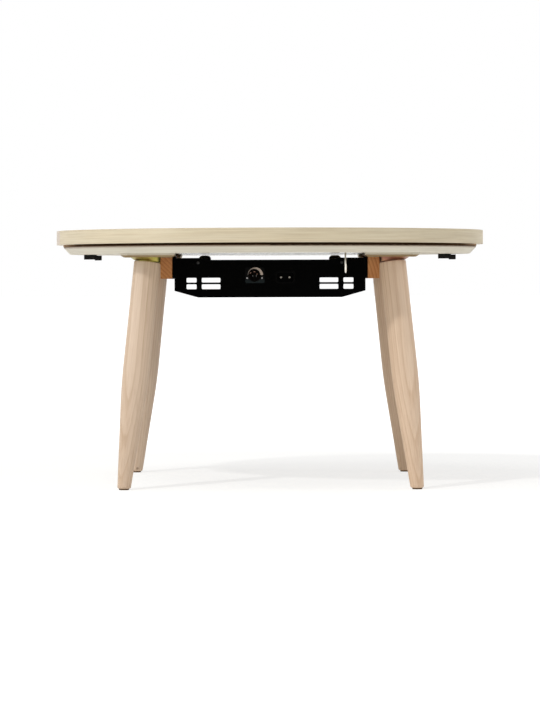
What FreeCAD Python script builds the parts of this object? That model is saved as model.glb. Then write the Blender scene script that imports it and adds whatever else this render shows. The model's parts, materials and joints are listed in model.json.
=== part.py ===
import FreeCAD, Part
import math
import os
import re
import Sketcher

# Kotatsu table: a round lift-off top on a framed underboard with four splayed screw-in legs
# and a low electric heater hung between two rails. Millimetres, origin on the floor under the
# table's centre, +Z up, the heater's control panel facing -Y.

# Driving sizes. Lengths in millimetres, names that end in angle in degrees,
# names that end in count or share are plain numbers.
sizes = {
    # Table top and the gap under it
    "total_height": 399.0,
    "top_radius": 340.0,
    "top_thickness": 22.0,
    "band_thickness": 1.0,
    "band_edge_round": 0.6,
    "glue_gap": 0.1,
    "felt_thickness": 3.0,
    "felt_width": 10.0,
    "felt_rim_gap": 0.8,
    # Underboard
    "board_thickness": 12.0,
    "board_inset": 9.6,
    "board_bevel": 11.4,
    "board_edge_round": 1.2,
    # Corner blocks and leg plates
    "block_side": 82.5,
    "block_thickness": 6.0,
    "block_bevel_height": 3.0,
    "block_bevel_depth": 5.0,
    "block_corner_cut": 8.0,
    "block_rim_gap": 3.145,
    "plate_shift": 4.75,
    "plate_lead": 6.3,
    "plate_rim": 3.8,
    "plate_thickness": 2.5,
    "boss_flare": 3.1,
    "boss_shift": 4.7,
    "boss_end_inset": 0.6,
    "boss_depth": 7.8,
    "neck_height": 1.4,
    "neck_radius": 15.0,
    "plate_screw_gap": 3.0,
    "plate_screw_front_angle": 35.0,
    "plate_screw_rear_angle": 90.0,
    "plate_screw_radius": 1.75,
    "plate_screw_head_radius": 2.6,
    "plate_screw_head_height": 1.8,
    "plate_screw_length": 15.0,
    "screw_point_share": 0.4,
    # Legs
    "leg_splay_angle": 8.31,
    "leg_radius": 20.4,
    "leg_top_round": 1.2,
    "leg_straight_length": 191.0,
    "leg_foot_radius": 10.1,
    "leg_taper_blend": 950.0,
    "foot_round": 2.4,
    "glide_radius": 7.6,
    "glide_thickness": 2.0,
    "bolt_radius": 4.0,
    "bolt_wood_length": 38.0,
    "bolt_tip_length": 5.0,
    "bolt_tip_radius": 1.6,
    # Rails that carry the heater
    "rail_width": 18.0,
    "rail_height": 39.0,
    "rail_end_gap": 0.3,
    "rail_screw_margin": 41.2,
    "rail_screw_radius": 1.9,
    "rail_screw_head_radius": 4.0,
    "rail_screw_head_height": 3.0,
    "rail_screw_length": 38.0,
    # Heater shell, set by the room between the legs and hung under the board
    "shell_leg_gap": 42.3,
    "shell_end_gap": 45.0,
    "shell_drop": 9.8,
    "shell_height": 27.2,
    "shell_sheet": 1.0,
    "shell_bend": 2.0,
    "lip_height": 9.0,
    "lip_end_gap": 10.2,
    "panel_sheet": 1.2,
    "panel_ear_rise": 3.0,
    "panel_ear_width": 40.2,
    "panel_dip_width": 18.0,
    "guard_gap": 0.9,
    "guard_wall_height": 20.9,
    "guard_slope_height": 10.4,
    "guard_slope_width": 36.8,
    "guard_tuck": 9.0,
    # Vent slots in the two panels, from the guard's shoulder upward
    "vent_low_rise": 2.6,
    "vent_low_height": 7.6,
    "vent_high_rise": 13.0,
    "vent_high_height": 7.2,
    "vent_round": 1.6,
    "rear_vent_low_rise": 0.9,
    "rear_vent_low_height": 9.6,
    "rear_vent_high_rise": 12.7,
    "rear_vent_high_height": 8.2,
    "rear_vent_round": 2.4,
    # Punched guard under the heating tube
    "guard_bar_width": 4.0,
    "guard_side_margin": 8.5,
    "guard_slot_count": 15.0,
    "guard_slope_margin": 5.5,
    "guard_slope_slot_count": 2.0,
    "guard_row_gap": 10.0,
    "guard_end_margin": 11.3,
    "guard_row_count": 5.0,
    # Small screws of the heater
    "panel_screw_margin": 38.5,
    "panel_screw_drop": 4.4,
    "panel_screw_radius": 1.5,
    "panel_screw_head_radius": 2.35,
    "panel_screw_head_height": 1.2,
    "panel_screw_length": 6.0,
    "guard_screw_margin": 24.3,
    "guard_screw_rise": 5.0,
    "guard_screw_tip": 1.3,
    "mount_screw_offset": 25.0,
    "mount_screw_drop": 11.2,
    "mount_screw_radius": 2.0,
    "mount_screw_head_radius": 3.8,
    "mount_screw_head_height": 2.2,
    "mount_screw_length": 16.0,
    "spacer_radius": 4.5,
    "spacer_thickness": 1.8,
    # Heating tube and its reflector
    "tube_drop": 16.2,
    "tube_radius": 6.0,
    "tube_wall": 1.0,
    "tube_seat_depth": 5.0,
    "element_radius": 3.2,
    "holder_margin": 41.2,
    "holder_thickness": 10.0,
    "holder_half_depth": 11.0,
    "holder_below_tube": 11.7,
    "holder_round": 3.0,
    "stud_radius": 2.0,
    "stud_grip": 8.0,
    "stud_cap_grip": 5.0,
    "cap_radius": 9.8,
    "cap_height": 7.8,
    "cap_round": 6.0,
    "reflector_front_room": 51.3,
    "reflector_slope_width": 35.0,
    "reflector_height": 23.25,
    "reflector_sheet": 0.8,
    "reflector_bend": 12.0,
    "reflector_end_gap": 1.0,
    # Thermostat
    "knob_x": -23.9,
    "knob_drop": 25.2,
    "knob_radius": 9.0,
    "knob_skirt": 2.6,
    "knob_height": 8.0,
    "knob_grip_width": 5.0,
    "knob_grip_round": 1.4,
    "knob_stand_off": 0.5,
    "spindle_radius": 3.0,
    "spindle_gap": 0.3,
    "spindle_flat": 0.8,
    "spindle_seat": 5.0,
    "bezel_left_reach": 14.6,
    "bezel_width": 30.1,
    "bezel_low_reach": 11.1,
    "bezel_height": 24.6,
    "bezel_thickness": 1.6,
    "bezel_round": 2.5,
    "switch_half_width": 15.0,
    "switch_half_height": 12.0,
    "switch_depth": 24.0,
    "switch_round": 2.0,
    "switch_boss_radius": 7.0,
    "switch_boss_depth": 4.0,
    # Power inlet
    "inlet_x": 23.8,
    "inlet_drop": 27.4,
    "inlet_half_width": 15.0,
    "inlet_half_height": 9.5,
    "inlet_round": 4.0,
    "inlet_wall": 2.0,
    "inlet_depth": 22.0,
    "inlet_floor": 3.0,
    "inlet_flange": 3.0,
    "pin_spacing": 13.2,
    "pin_radius": 2.0,
    "pin_tail_radius": 1.5,
    "pin_recess": 1.5,
    "pin_tail": 3.0,
    # Leads and thermal fuse inside the shell
    "lead_radius": 1.3,
    "lead_bend": 9.0,
    "lead_run": 10.4,
    "lead_drop": 20.2,
    "fuse_length": 16.0,
    "fuse_radius": 3.0,
    # Cord hook
    "hook_side_gap": 30.0,
    "hook_stand_off": 27.5,
    "hook_shank_radius": 1.2,
    "hook_wire_radius": 1.7,
    "hook_thread_depth": 9.0,
    "hook_shank_length": 7.0,
    "hook_drop": 31.5,
    "hook_bend_radius": 7.0,
    "hook_bottom_flat": 0.02,
    "hook_tip_rise": 6.0,
    # Top locks
    "lock_rim_gap": 36.0,
    "lever_half_width": 6.5,
    "lever_height": 7.5,
    "lever_tail": 14.1,
    "lever_block_reach": 6.2,
    "lever_tip_reach": 7.9,
    "lever_round": 3.0,
    "grip_drop": 1.2,
    "grip_fall": 1.5,
    "grip_inset": 1.5,
    "grip_round": 1.2,
    "lock_gap": 0.3,
    "lock_spindle_radius": 3.0,
    "lock_bore_gap": 0.4,
    "lock_bar_length": 16.0,
    "lock_bar_waist": 1.0,
    "lock_bar_height": 3.0,
    "lock_bar_gap": 0.6,
    "clip_rim": 3.0,
    "clip_thickness": 1.2,
    "clip_lift": 0.3,
    "striker_rim": 3.8,
    "striker_thickness": 2.0,
    "striker_slot_gap": 1.0,
    "striker_cavity_gap": 1.6,
    "striker_cavity_room": 1.9,
    "striker_screw_gap": 3.6,
    "striker_screw_radius": 1.5,
    "striker_screw_head_radius": 2.6,
    "striker_screw_head_height": 1.4,
    "striker_screw_length": 12.0,
    # Clearances and cutting
    "fit": 0.15,
    "overrun": 5.0,
}

document = FreeCAD.newDocument("kotatsu_table")
sheet = document.addObject("Spreadsheet::Sheet", "Sizes")
for row, (alias, number) in enumerate(sizes.items(), start=1):
    sheet.set(f"A{row}", alias)
    sheet.set(f"B{row}", str(number))
    sheet.setAlias(f"B{row}", alias)
document.recompute()


# Levels and places worked out from the driving sizes, kept as expressions of the sheet.
def sized(text):
    """Write the sheet's name before each size in an expression."""
    return "(" + re.sub("[a-z_]+", lambda word: "Sizes." * (word[0] in sizes) + word[0], text) + ")"


top_under = sized("total_height - top_thickness")
board_top = sized("total_height - top_thickness - felt_thickness")
board_under = f"({board_top} - {sized('board_thickness')})"
block_under = f"({board_under} - {sized('block_thickness')})"
board_top_radius = sized("top_radius - board_inset")
board_bottom_radius = sized("top_radius - board_inset - board_bevel")
block_reach = sized("block_side / sqrt(2) - block_corner_cut")
block_centre = f"(({board_bottom_radius} - {sized('block_rim_gap')} - {block_reach}) / sqrt(2))"
block_inner = f"({block_centre} - {sized('block_side / 2')})"
plate_centre = f"({block_centre} + {sized('plate_shift')})"
boss_radius = sized("leg_radius + boss_flare")
plate_screw_circle = sized("leg_radius + boss_flare + plate_screw_gap")
plate_radius = sized("leg_radius + boss_flare + plate_screw_gap + plate_rim")
leg_lean = "tan(Sizes.leg_splay_angle)"
shell_half_width = f"({plate_centre} - {sized('shell_leg_gap')})"
panel_outer_y = f"({plate_centre} - {sized('shell_end_gap')})"
panel_inner_y = f"({panel_outer_y} - {sized('panel_sheet')})"
shell_top = f"({board_under} - {sized('shell_drop')})"
shell_ceiling = f"({shell_top} - {sized('shell_sheet')})"
shell_step = f"({shell_top} - {sized('shell_height')})"
guard_half_width = f"({shell_half_width} - {sized('shell_sheet + guard_gap')})"
guard_flat = f"({guard_half_width} - {sized('guard_slope_width')})"
guard_shoulder = f"({shell_step} - {sized('guard_wall_height')})"
guard_bottom = f"({guard_shoulder} - {sized('guard_slope_height')})"
guard_wall_top = f"({shell_step} + {sized('guard_tuck')})"
rail_inner = f"({shell_half_width} + {sized('spacer_thickness')})"
rail_middle = f"({rail_inner} + {sized('rail_width / 2')})"
rail_half_length = f"({block_inner} - {sized('rail_end_gap')})"
rail_screw_y = f"({rail_half_length} - {sized('rail_screw_margin')})"
mount_screw_y = f"({rail_screw_y} - {sized('mount_screw_offset')})"
mount_screw_z = f"({shell_top} - {sized('mount_screw_drop')})"
guard_screw_y = f"({panel_inner_y} - {sized('guard_screw_margin')})"
guard_screw_z = f"({shell_step} + {sized('guard_screw_rise')})"
panel_screw_x = f"({shell_half_width} - {sized('panel_screw_margin')})"
panel_screw_z = f"({shell_top} - {sized('panel_screw_drop')})"
tube_z = f"({shell_top} - {sized('tube_drop')})"
holder_outer = f"({shell_half_width} - {sized('holder_margin')})"
holder_inner = f"({holder_outer} - {sized('holder_thickness')})"
holder_middle = f"({holder_outer} - {sized('holder_thickness / 2')})"
knob_z = f"({shell_top} - {sized('knob_drop')})"
inlet_z = f"({shell_top} - {sized('inlet_drop')})"
lead_z = f"({shell_top} - {sized('lead_drop')})"
switch_back = f"({sized('switch_depth')} - {panel_inner_y})"
fuse_middle = f"(({switch_back} + {sized('lead_run - holder_half_depth')}) / 2)"
hook_x = f"({block_inner} - {sized('hook_side_gap')})"
hook_y = f"(0 - {panel_outer_y} - {sized('hook_stand_off')})"
lock_x = f"({board_bottom_radius} - {sized('lock_rim_gap')})"
lock_bar_width = sized("2 * lock_spindle_radius - lock_bar_waist")
striker_cavity_radius = sized("lock_bar_length / 2 + striker_cavity_gap")
striker_screw_x = f"({striker_cavity_radius} + {sized('striker_screw_gap')})"
striker_radius = f"({striker_screw_x} + {sized('striker_rim')})"

# Where each vent slot starts and ends, as shares of the guard's half width.
vent_shares = ((0.5192, 0.7147), (0.7687, 0.8739))
rear_vent_shares = ((0.5192, 0.7687), (0.8058, 0.9305))

# Each corner of the table has its own frame: its origin under the block at the leg plate's
# centre, X outward along the diagonal. The turns bring X to the four diagonals.
corners = {
    "front_left": (-1, -1, 225),
    "front_right": (1, -1, 315),
    "rear_right": (1, 1, 45),
    "rear_left": (-1, 1, 135),
}
sides = {"left": -1, "right": 1}
table_parts = []

# Two numbers this close are the same one.
same_share = 1e-6


def value(expression):
    """The number that an expression has with the sheet's present sizes."""
    return float(sheet.evalExpression(expression))


def new_body(label, keep=True):
    body = document.addObject("PartDesign::Body", label)
    body.Label = label
    if keep:
        table_parts.append(body)
    return body


def place(item, x="0", y="0", z="0", turn=0, turn_axis=(0, 0, 1)):
    """Place an item by three expressions and a turn in degrees."""
    turning = FreeCAD.Rotation(FreeCAD.Vector(*turn_axis), turn)
    item.Placement = FreeCAD.Placement(FreeCAD.Vector(0, 0, 0), turning)
    for axis, expression in (("x", x), ("y", y), ("z", z)):
        item.setExpression(f"Placement.Base.{axis}", expression)


def place_in_corner(item, corner):
    side_x, side_y, turn = corners[corner]
    place(item, f"{side_x} * {plate_centre}", f"{side_y} * {plate_centre}", block_under, turn)


def new_sketch(body, plane, offset="0"):
    """A sketch on one of the body's origin planes, moved along the plane's normal."""
    sketch = body.newObject("Sketcher::SketchObject", body.Label + "_outline")
    support = [item for item in body.Origin.OriginFeatures if item.Role == plane]
    sketch.AttachmentSupport = [(support[0], "")]
    sketch.MapMode = "FlatFace"
    sketch.setExpression("AttachmentOffset.Base.z", offset)
    return sketch


def fix_point(sketch, item, vertex, x, y):
    """Hold a sketch point at two expressions, measured from the sketch's origin."""
    for kind, line, expression in (("DistanceX", -2, x), ("DistanceY", -1, y)):
        number = value(expression)
        if near(number, 0):
            sketch.addConstraint(Sketcher.Constraint("PointOnObject", item, vertex, line))
        else:
            index = sketch.addConstraint(Sketcher.Constraint(kind, -1, 1, item, vertex, number))
            sketch.setExpression(f"Constraints[{index}]", expression)


def draw_circle(sketch, x, y, radius):
    centre = FreeCAD.Vector(value(x), value(y), 0)
    circle = Part.Circle(centre, FreeCAD.Vector(0, 0, 1), value(radius))
    item = sketch.addGeometry(circle, False)
    fix_point(sketch, item, 3, x, y)
    index = sketch.addConstraint(Sketcher.Constraint("Radius", item, value(radius)))
    sketch.setExpression(f"Constraints[{index}]", radius)


def corner_arc(before, corner, after, radius):
    """Where the tangent arc of a rounded corner leaves the two lines, and its centre."""
    toward_before = (before - corner).normalize()
    toward_after = (after - corner).normalize()
    half_angle = toward_before.getAngle(toward_after) / 2
    setback = radius / math.tan(half_angle)
    start = corner + toward_before * setback
    end = corner + toward_after * setback
    bisector = (toward_before + toward_after).normalize()
    centre = corner + bisector * (radius / math.sin(half_angle))
    return start, end, centre


def draw_outline(sketch, outline, closed=True):
    """Draw straight lines through corners (x, y) or (x, y, radius), each one an expression.

    A corner with a radius becomes a tangent arc, and its sharp point is kept for measuring.
    """
    points = [FreeCAD.Vector(value(corner[0]), value(corner[1]), 0) for corner in outline]
    count = len(points)
    starts = list(points)
    ends = list(points)
    arcs = {}
    for number, corner in enumerate(outline):
        if len(corner) > 2:
            before = points[number - 1]
            after = points[(number + 1) % count]
            start, end, centre = corner_arc(before, points[number], after, value(corner[2]))
            starts[number] = start
            ends[number] = end
            arcs[number] = (start, end, centre)
    lines = {}
    line_count = count if closed else count - 1
    for number in range(line_count):
        following = (number + 1) % count
        segment = Part.LineSegment(ends[number], starts[following])
        lines[number] = sketch.addGeometry(segment, False)
    for number, corner in enumerate(outline):
        line_in = lines.get((number - 1) % count if closed else number - 1)
        line_out = lines.get(number)
        if number in arcs:
            round_corner(sketch, corner, points[number], line_in, line_out, arcs[number])
        else:
            if line_in is not None and line_out is not None:
                sketch.addConstraint(Sketcher.Constraint("Coincident", line_in, 2, line_out, 1))
            if line_out is not None:
                fix_point(sketch, line_out, 1, corner[0], corner[1])
            else:
                fix_point(sketch, line_in, 2, corner[0], corner[1])


def round_corner(sketch, corner, sharp, line_in, line_out, ends_and_centre):
    """Add the arc of one rounded corner and tie it to the lines on both sides."""
    start, end, centre = ends_and_centre
    start_angle = math.atan2(start.y - centre.y, start.x - centre.x)
    end_angle = math.atan2(end.y - centre.y, end.x - centre.x)
    sweep = (end_angle - start_angle) % (2 * math.pi)
    counter_clockwise = sweep < math.pi
    circle = Part.Circle(centre, FreeCAD.Vector(0, 0, 1), value(corner[2]))
    if counter_clockwise:
        arc = Part.ArcOfCircle(circle, start_angle, end_angle)
    else:
        arc = Part.ArcOfCircle(circle, end_angle, start_angle)
    item = sketch.addGeometry(arc, False)
    first_vertex, last_vertex = (1, 2) if counter_clockwise else (2, 1)
    sketch.addConstraint(Sketcher.Constraint("Tangent", line_in, 2, item, first_vertex))
    sketch.addConstraint(Sketcher.Constraint("Tangent", item, last_vertex, line_out, 1))
    point = sketch.addGeometry(Part.Point(sharp), True)
    sketch.addConstraint(Sketcher.Constraint("PointOnObject", point, 1, line_in))
    sketch.addConstraint(Sketcher.Constraint("PointOnObject", point, 1, line_out))
    fix_point(sketch, point, 1, corner[0], corner[1])
    index = sketch.addConstraint(Sketcher.Constraint("Radius", item, value(corner[2])))
    sketch.setExpression(f"Constraints[{index}]", corner[2])


def draw_box(sketch, left, right, bottom, top, radius=None):
    """A rectangle, with rounded corners where a radius is given."""
    sharp = [(left, bottom), (right, bottom), (right, top), (left, top)]
    outline = [corner + (radius,) if radius else corner for corner in sharp]
    draw_outline(sketch, outline)


def pad(body, sketch, length, reverse=False):
    feature = body.newObject("PartDesign::Pad", body.Label + "_pad")
    feature.Profile = sketch
    feature.Reversed = reverse
    feature.setExpression("Length", length)
    return finish_feature(body, feature, grows=True)


def cut(body, sketch, depth, reverse=False):
    """Sink a pocket. Unreversed, it goes against the sketch's normal."""
    feature = body.newObject("PartDesign::Pocket", body.Label + "_cut")
    feature.Profile = sketch
    feature.Reversed = reverse
    feature.setExpression("Length", depth)
    return finish_feature(body, feature, grows=False)


def cut_through(body, sketch):
    feature = body.newObject("PartDesign::Pocket", body.Label + "_through")
    feature.Profile = sketch
    feature.Type = "ThroughAll"
    feature.SideType = "Symmetric"
    return finish_feature(body, feature, grows=False)


def revolve(body, sketch, axis="V_Axis"):
    feature = body.newObject("PartDesign::Revolution", body.Label + "_turning")
    feature.Profile = sketch
    feature.ReferenceAxis = (sketch, [axis])
    feature.Angle = 360
    return finish_feature(body, feature, grows=True)


def finish_feature(body, feature, grows):
    """Recompute and make sure that the feature added or removed material."""
    before = body.last_volume if "last_volume" in body.PropertiesList else 0.0
    document.recompute()
    if feature.Shape.isNull() or not feature.isValid():
        raise RuntimeError(f"{body.Label}: {feature.Name} has no shape")
    if "last_volume" not in body.PropertiesList:
        body.addProperty("App::PropertyFloat", "last_volume")
    change = feature.Shape.Volume - before
    if (change > 0) != grows:
        raise RuntimeError(f"{body.Label}: {feature.Name} changed the volume by {change:.3f}")
    body.last_volume = feature.Shape.Volume
    return feature


def edges_where(feature, test):
    """Names of the feature's edges for which the test holds."""
    edges = enumerate(feature.Shape.Edges, start=1)
    return [f"Edge{number}" for number, edge in edges if test(edge)]


def near(first, second):
    return math.isclose(first, second, rel_tol=same_share, abs_tol=same_share)


def round_edges(body, feature, radius, test):
    fillet = body.newObject("PartDesign::Fillet", body.Label + "_round")
    fillet.Base = (feature, edges_where(feature, test))
    fillet.setExpression("Radius", radius)
    return finish_feature(body, fillet, grows=False)


def repeat_grid(body, feature, rows):
    """Repeat a feature along the body's own axes: rows of an axis, a pitch and a count."""
    grid = body.newObject("PartDesign::MultiTransform", body.Label + "_grid")
    document.recompute()
    steps = []
    for direction, pitch, count in rows:
        step = body.newObject("PartDesign::LinearPattern", body.Label + "_row")
        axis = [item for item in body.Origin.OriginFeatures if item.Role == direction]
        step.Direction = (axis[0], [""])
        step.Mode = "Spacing"
        step.setExpression("Offset", pitch)
        step.setExpression("Occurrences", count)
        steps.append(step)
    grid.Originals = [feature]
    grid.Transformations = steps
    body.Tip = grid
    return finish_feature(body, grid, grows=False)


def mirror_feature(body, features, plane):
    mirrored = body.newObject("PartDesign::Mirrored", body.Label + "_mirror")
    support = [item for item in body.Origin.OriginFeatures if item.Role == plane]
    mirrored.MirrorPlane = (support[0], [""])
    mirrored.Originals = features
    body.Tip = mirrored
    return finish_feature(body, mirrored, grows=False)


def group(label, members):
    """Keep several equal solids together as one sub-part."""
    compound = document.addObject("Part::Compound", label)
    compound.Label = label
    compound.Links = members
    table_parts.append(compound)
    return compound


def screw(label, radius, length, head_radius, head_height, countersunk=False):
    """A screw along its own +Z: head at the origin's far side, point at -length."""
    body = new_body(label, keep=False)
    sketch = new_sketch(body, "XZ_Plane")
    point = f"{radius} * Sizes.screw_point_share"
    if countersunk:
        head = [(head_radius, "0"), (radius, f"-{head_height}")]
    else:
        head = [("0", head_height), (head_radius, head_height), (head_radius, "0"), (radius, "0")]
    shank = [(radius, f"-({length}) + 2 * {radius}"), (point, f"-({length})"), ("0", f"-({length})")]
    closing = [("0", "0")] if countersunk else []
    draw_outline(sketch, closing + head + shank)
    revolve(body, sketch)
    return body


def make_tabletop():
    """The round board, with a round recess over each lock for its striker and turning bar."""
    body = new_body("tabletop_panel")
    sketch = new_sketch(body, "XY_Plane", top_under)
    core = sized("top_radius - band_thickness - glue_gap")
    draw_circle(sketch, "0", "0", core)
    pad(body, sketch, "Sizes.top_thickness")
    seat = new_sketch(body, "XY_Plane", top_under)
    cavity = new_sketch(body, "XY_Plane", top_under)
    pilot = new_sketch(body, "XY_Plane", top_under)
    for side in sides.values():
        draw_circle(seat, f"{side} * {lock_x}", "0", f"({striker_radius} + Sizes.fit)")
        draw_circle(cavity, f"{side} * {lock_x}", "0", striker_cavity_radius)
        for hand in sides.values():
            x = f"{side} * {lock_x} + {hand} * {striker_screw_x}"
            draw_circle(pilot, x, "0", sized("striker_screw_radius + fit"))
    cut(body, seat, "Sizes.striker_thickness", reverse=True)
    cavity_depth = sized("striker_thickness + lock_bar_gap + lock_bar_height + striker_cavity_room")
    cut(body, cavity, cavity_depth, reverse=True)
    cut(body, pilot, sized("striker_screw_length + fit"), reverse=True)


def make_edge_band():
    """The thin strip glued round the board's edge."""
    body = new_body("tabletop_edge_band")
    sketch = new_sketch(body, "XY_Plane", top_under)
    draw_circle(sketch, "0", "0", "Sizes.top_radius")
    draw_circle(sketch, "0", "0", sized("top_radius - band_thickness"))
    ring = pad(body, sketch, "Sizes.top_thickness")
    outer = value("Sizes.top_radius")

    def is_rim(edge):
        return edge.Closed and near(edge.Curve.Radius, outer)

    round_edges(body, ring, "Sizes.band_edge_round", is_rim)


def make_striker(name, side):
    """The keyhole plate that a lock's bar passes through and turns behind."""
    body = new_body("striker_" + name)
    place(body, f"{side} * {lock_x}", "0", top_under)
    sketch = new_sketch(body, "XY_Plane")
    draw_circle(sketch, "0", "0", striker_radius)
    pad(body, sketch, "Sizes.striker_thickness")
    slot = new_sketch(body, "XY_Plane")
    half_slot = f"({lock_bar_width} / 2 + Sizes.striker_slot_gap)"
    half_length = sized("lock_bar_length / 2 + striker_slot_gap")
    draw_box(slot, f"-{half_slot}", half_slot, f"-{half_length}", half_length, f"{lock_bar_width} / 4")
    cut(body, slot, sized("striker_thickness + overrun"), reverse=True)
    for hand in sides.values():
        hole = new_sketch(body, "XY_Plane")
        draw_circle(hole, f"{hand} * {striker_screw_x}", "0", sized("striker_screw_radius + fit"))
        cut(body, hole, sized("striker_thickness + overrun"), reverse=True)
        sink = new_sketch(body, "XY_Plane")
        draw_circle(sink, f"{hand} * {striker_screw_x}", "0", sized("striker_screw_head_radius + fit"))
        cut(body, sink, sized("striker_screw_head_height + fit"), reverse=True)


def make_striker_screws():
    members = []
    for side in sides.values():
        for hand in sides.values():
            member = screw("striker_screw", "Sizes.striker_screw_radius", "Sizes.striker_screw_length",
                           "Sizes.striker_screw_head_radius", "Sizes.striker_screw_head_height",
                           countersunk=True)
            x = f"{side} * {lock_x} + {hand} * {striker_screw_x}"
            place(member, x, "0", f"{top_under} + Sizes.fit", 180, (1, 0, 0))
            members.append(member)
    group("striker_screws", members)


def make_board():
    """The round underboard: bevelled edge, lock bores and screw holes."""
    body = new_body("frame_board")
    sketch = new_sketch(body, "XZ_Plane")
    draw_outline(sketch, [
        ("0", board_under),
        (board_bottom_radius, board_under),
        (board_top_radius, board_top, "Sizes.board_edge_round"),
        ("0", board_top),
    ])
    revolve(body, sketch)
    bores = new_sketch(body, "XY_Plane", board_under)
    for side in sides.values():
        draw_circle(bores, f"{side} * {lock_x}", "0", sized("lock_spindle_radius + lock_bore_gap"))
    cut(body, bores, "Sizes.board_thickness", reverse=True)
    for sketch, depth in board_screw_holes(body):
        cut(body, sketch, depth)
    pilots = new_sketch(body, "XY_Plane", board_under)
    for side_x, side_y, turn in corners.values():
        for angle in plate_screw_angles:
            x, y = plate_screw_place(side_x, side_y, turn, angle)
            draw_circle(pilots, x, y, sized("plate_screw_radius + fit"))
    depth = sized("plate_screw_length - block_thickness + 2 * fit")
    cut(body, pilots, depth, reverse=True)
    hook = new_sketch(body, "XY_Plane", board_under)
    draw_circle(hook, hook_x, hook_y, sized("hook_shank_radius + fit"))
    cut(body, hook, sized("hook_thread_depth + fit"), reverse=True)


def board_screw_holes(body):
    """Holes and head seats, sunk from the board's top, for the screws that hold the rails."""
    holes = new_sketch(body, "XY_Plane", board_top)
    seats = new_sketch(body, "XY_Plane", board_top)
    for side in sides.values():
        for step in rail_screw_steps:
            y = f"{step} * {rail_screw_y}"
            draw_circle(holes, f"{side} * {rail_middle}", y, sized("rail_screw_radius + fit"))
            draw_circle(seats, f"{side} * {rail_middle}", y, sized("rail_screw_head_radius + fit"))
    seat_depth = sized("rail_screw_head_height + 2 * fit")
    return [(holes, sized("board_thickness + overrun")), (seats, seat_depth)]


rail_screw_steps = (-1, 0, 1)
plate_screw_angles = (
    "Sizes.plate_screw_front_angle",
    "-Sizes.plate_screw_front_angle",
    "Sizes.plate_screw_rear_angle",
    "-Sizes.plate_screw_rear_angle",
)


def plate_screw_place(side_x, side_y, turn, angle):
    """Where a leg plate's screw stands, in the table's own frame."""
    x = f"{side_x} * {plate_centre} + {plate_screw_circle} * cos({turn} + {angle})"
    y = f"{side_y} * {plate_centre} + {plate_screw_circle} * sin({turn} + {angle})"
    return x, y


def make_corner_block(corner):
    """The block that spreads the leg's load: bevelled below, its outer corner cut off at the rim.

    The leg plate's flange is let into its underside.
    """
    body = new_body("corner_block_" + corner)
    place_in_corner(body, corner)
    upper = new_sketch(body, "XY_Plane", "Sizes.block_bevel_height")
    draw_outline(upper, block_outline())
    pad(body, upper, sized("block_thickness - block_bevel_height"))
    lower = new_sketch(body, "XY_Plane")
    draw_outline(lower, block_outline("Sizes.block_bevel_depth"))
    rim = new_sketch(body, "XY_Plane", "Sizes.block_bevel_height")
    draw_outline(rim, block_outline())
    loft = body.newObject("PartDesign::AdditiveLoft", body.Label + "_bevel")
    loft.Profile = rim
    loft.Sections = [lower]
    loft.Ruled = True
    finish_feature(body, loft, grows=True)
    seat = new_sketch(body, "XY_Plane")
    draw_circle(seat, "0", "0", f"({plate_radius} + Sizes.fit)")
    cut(body, seat, sized("plate_thickness + fit"), reverse=True)
    holes = new_sketch(body, "XY_Plane")
    for angle in plate_screw_angles:
        x = f"{plate_screw_circle} * cos({angle})"
        y = f"{plate_screw_circle} * sin({angle})"
        draw_circle(holes, x, y, sized("plate_screw_radius + fit"))
    cut(body, holes, sized("block_thickness + overrun"), reverse=True)


def block_outline(inset="0"):
    """A square on its corner, as the block stands in the corner's frame, with the outer tip cut off.

    The inset moves every side inward.
    """
    middle = "(-Sizes.plate_shift * sqrt(2))"
    reach = f"(Sizes.block_side / sqrt(2) - {inset} * sqrt(2))"
    tip = f"({middle} + {block_reach} - {inset})"
    half_tip = f"({middle} + {reach} - {tip})"
    return [
        (tip, half_tip),
        (middle, reach),
        (f"{middle} - {reach}", "0"),
        (middle, f"-{reach}"),
        (tip, f"-{half_tip}"),
    ]


def axis_x(depth):
    """Where the leg's axis is, along the diagonal, at a depth under the block."""
    return f"(-Sizes.plate_lead + ({depth}) * {leg_lean})"


def lean_sketch(sketch, along_x, along_y):
    """Turn a sketch in its own plane so that its V axis is the leg's axis."""
    sketch.AttachmentOffset = FreeCAD.Placement(
        FreeCAD.Vector(0, 0, 0), FreeCAD.Rotation(FreeCAD.Vector(0, 0, 1), 1))
    sketch.setExpression("AttachmentOffset.Rotation.Angle", "Sizes.leg_splay_angle")
    sketch.setExpression("AttachmentOffset.Base.x", along_x)
    sketch.setExpression("AttachmentOffset.Base.y", along_y)


def tilt_sketch(sketch, depth):
    """Lay a sketch square to the leg's axis, centred on it at a depth under the block."""
    sketch.AttachmentOffset = FreeCAD.Placement(
        FreeCAD.Vector(0, 0, 0), FreeCAD.Rotation(FreeCAD.Vector(0, -1, 0), 1))
    sketch.setExpression("AttachmentOffset.Rotation.Angle", "Sizes.leg_splay_angle")
    sketch.setExpression("AttachmentOffset.Base.x", axis_x(depth))
    sketch.setExpression("AttachmentOffset.Base.z", f"-({depth})")


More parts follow.
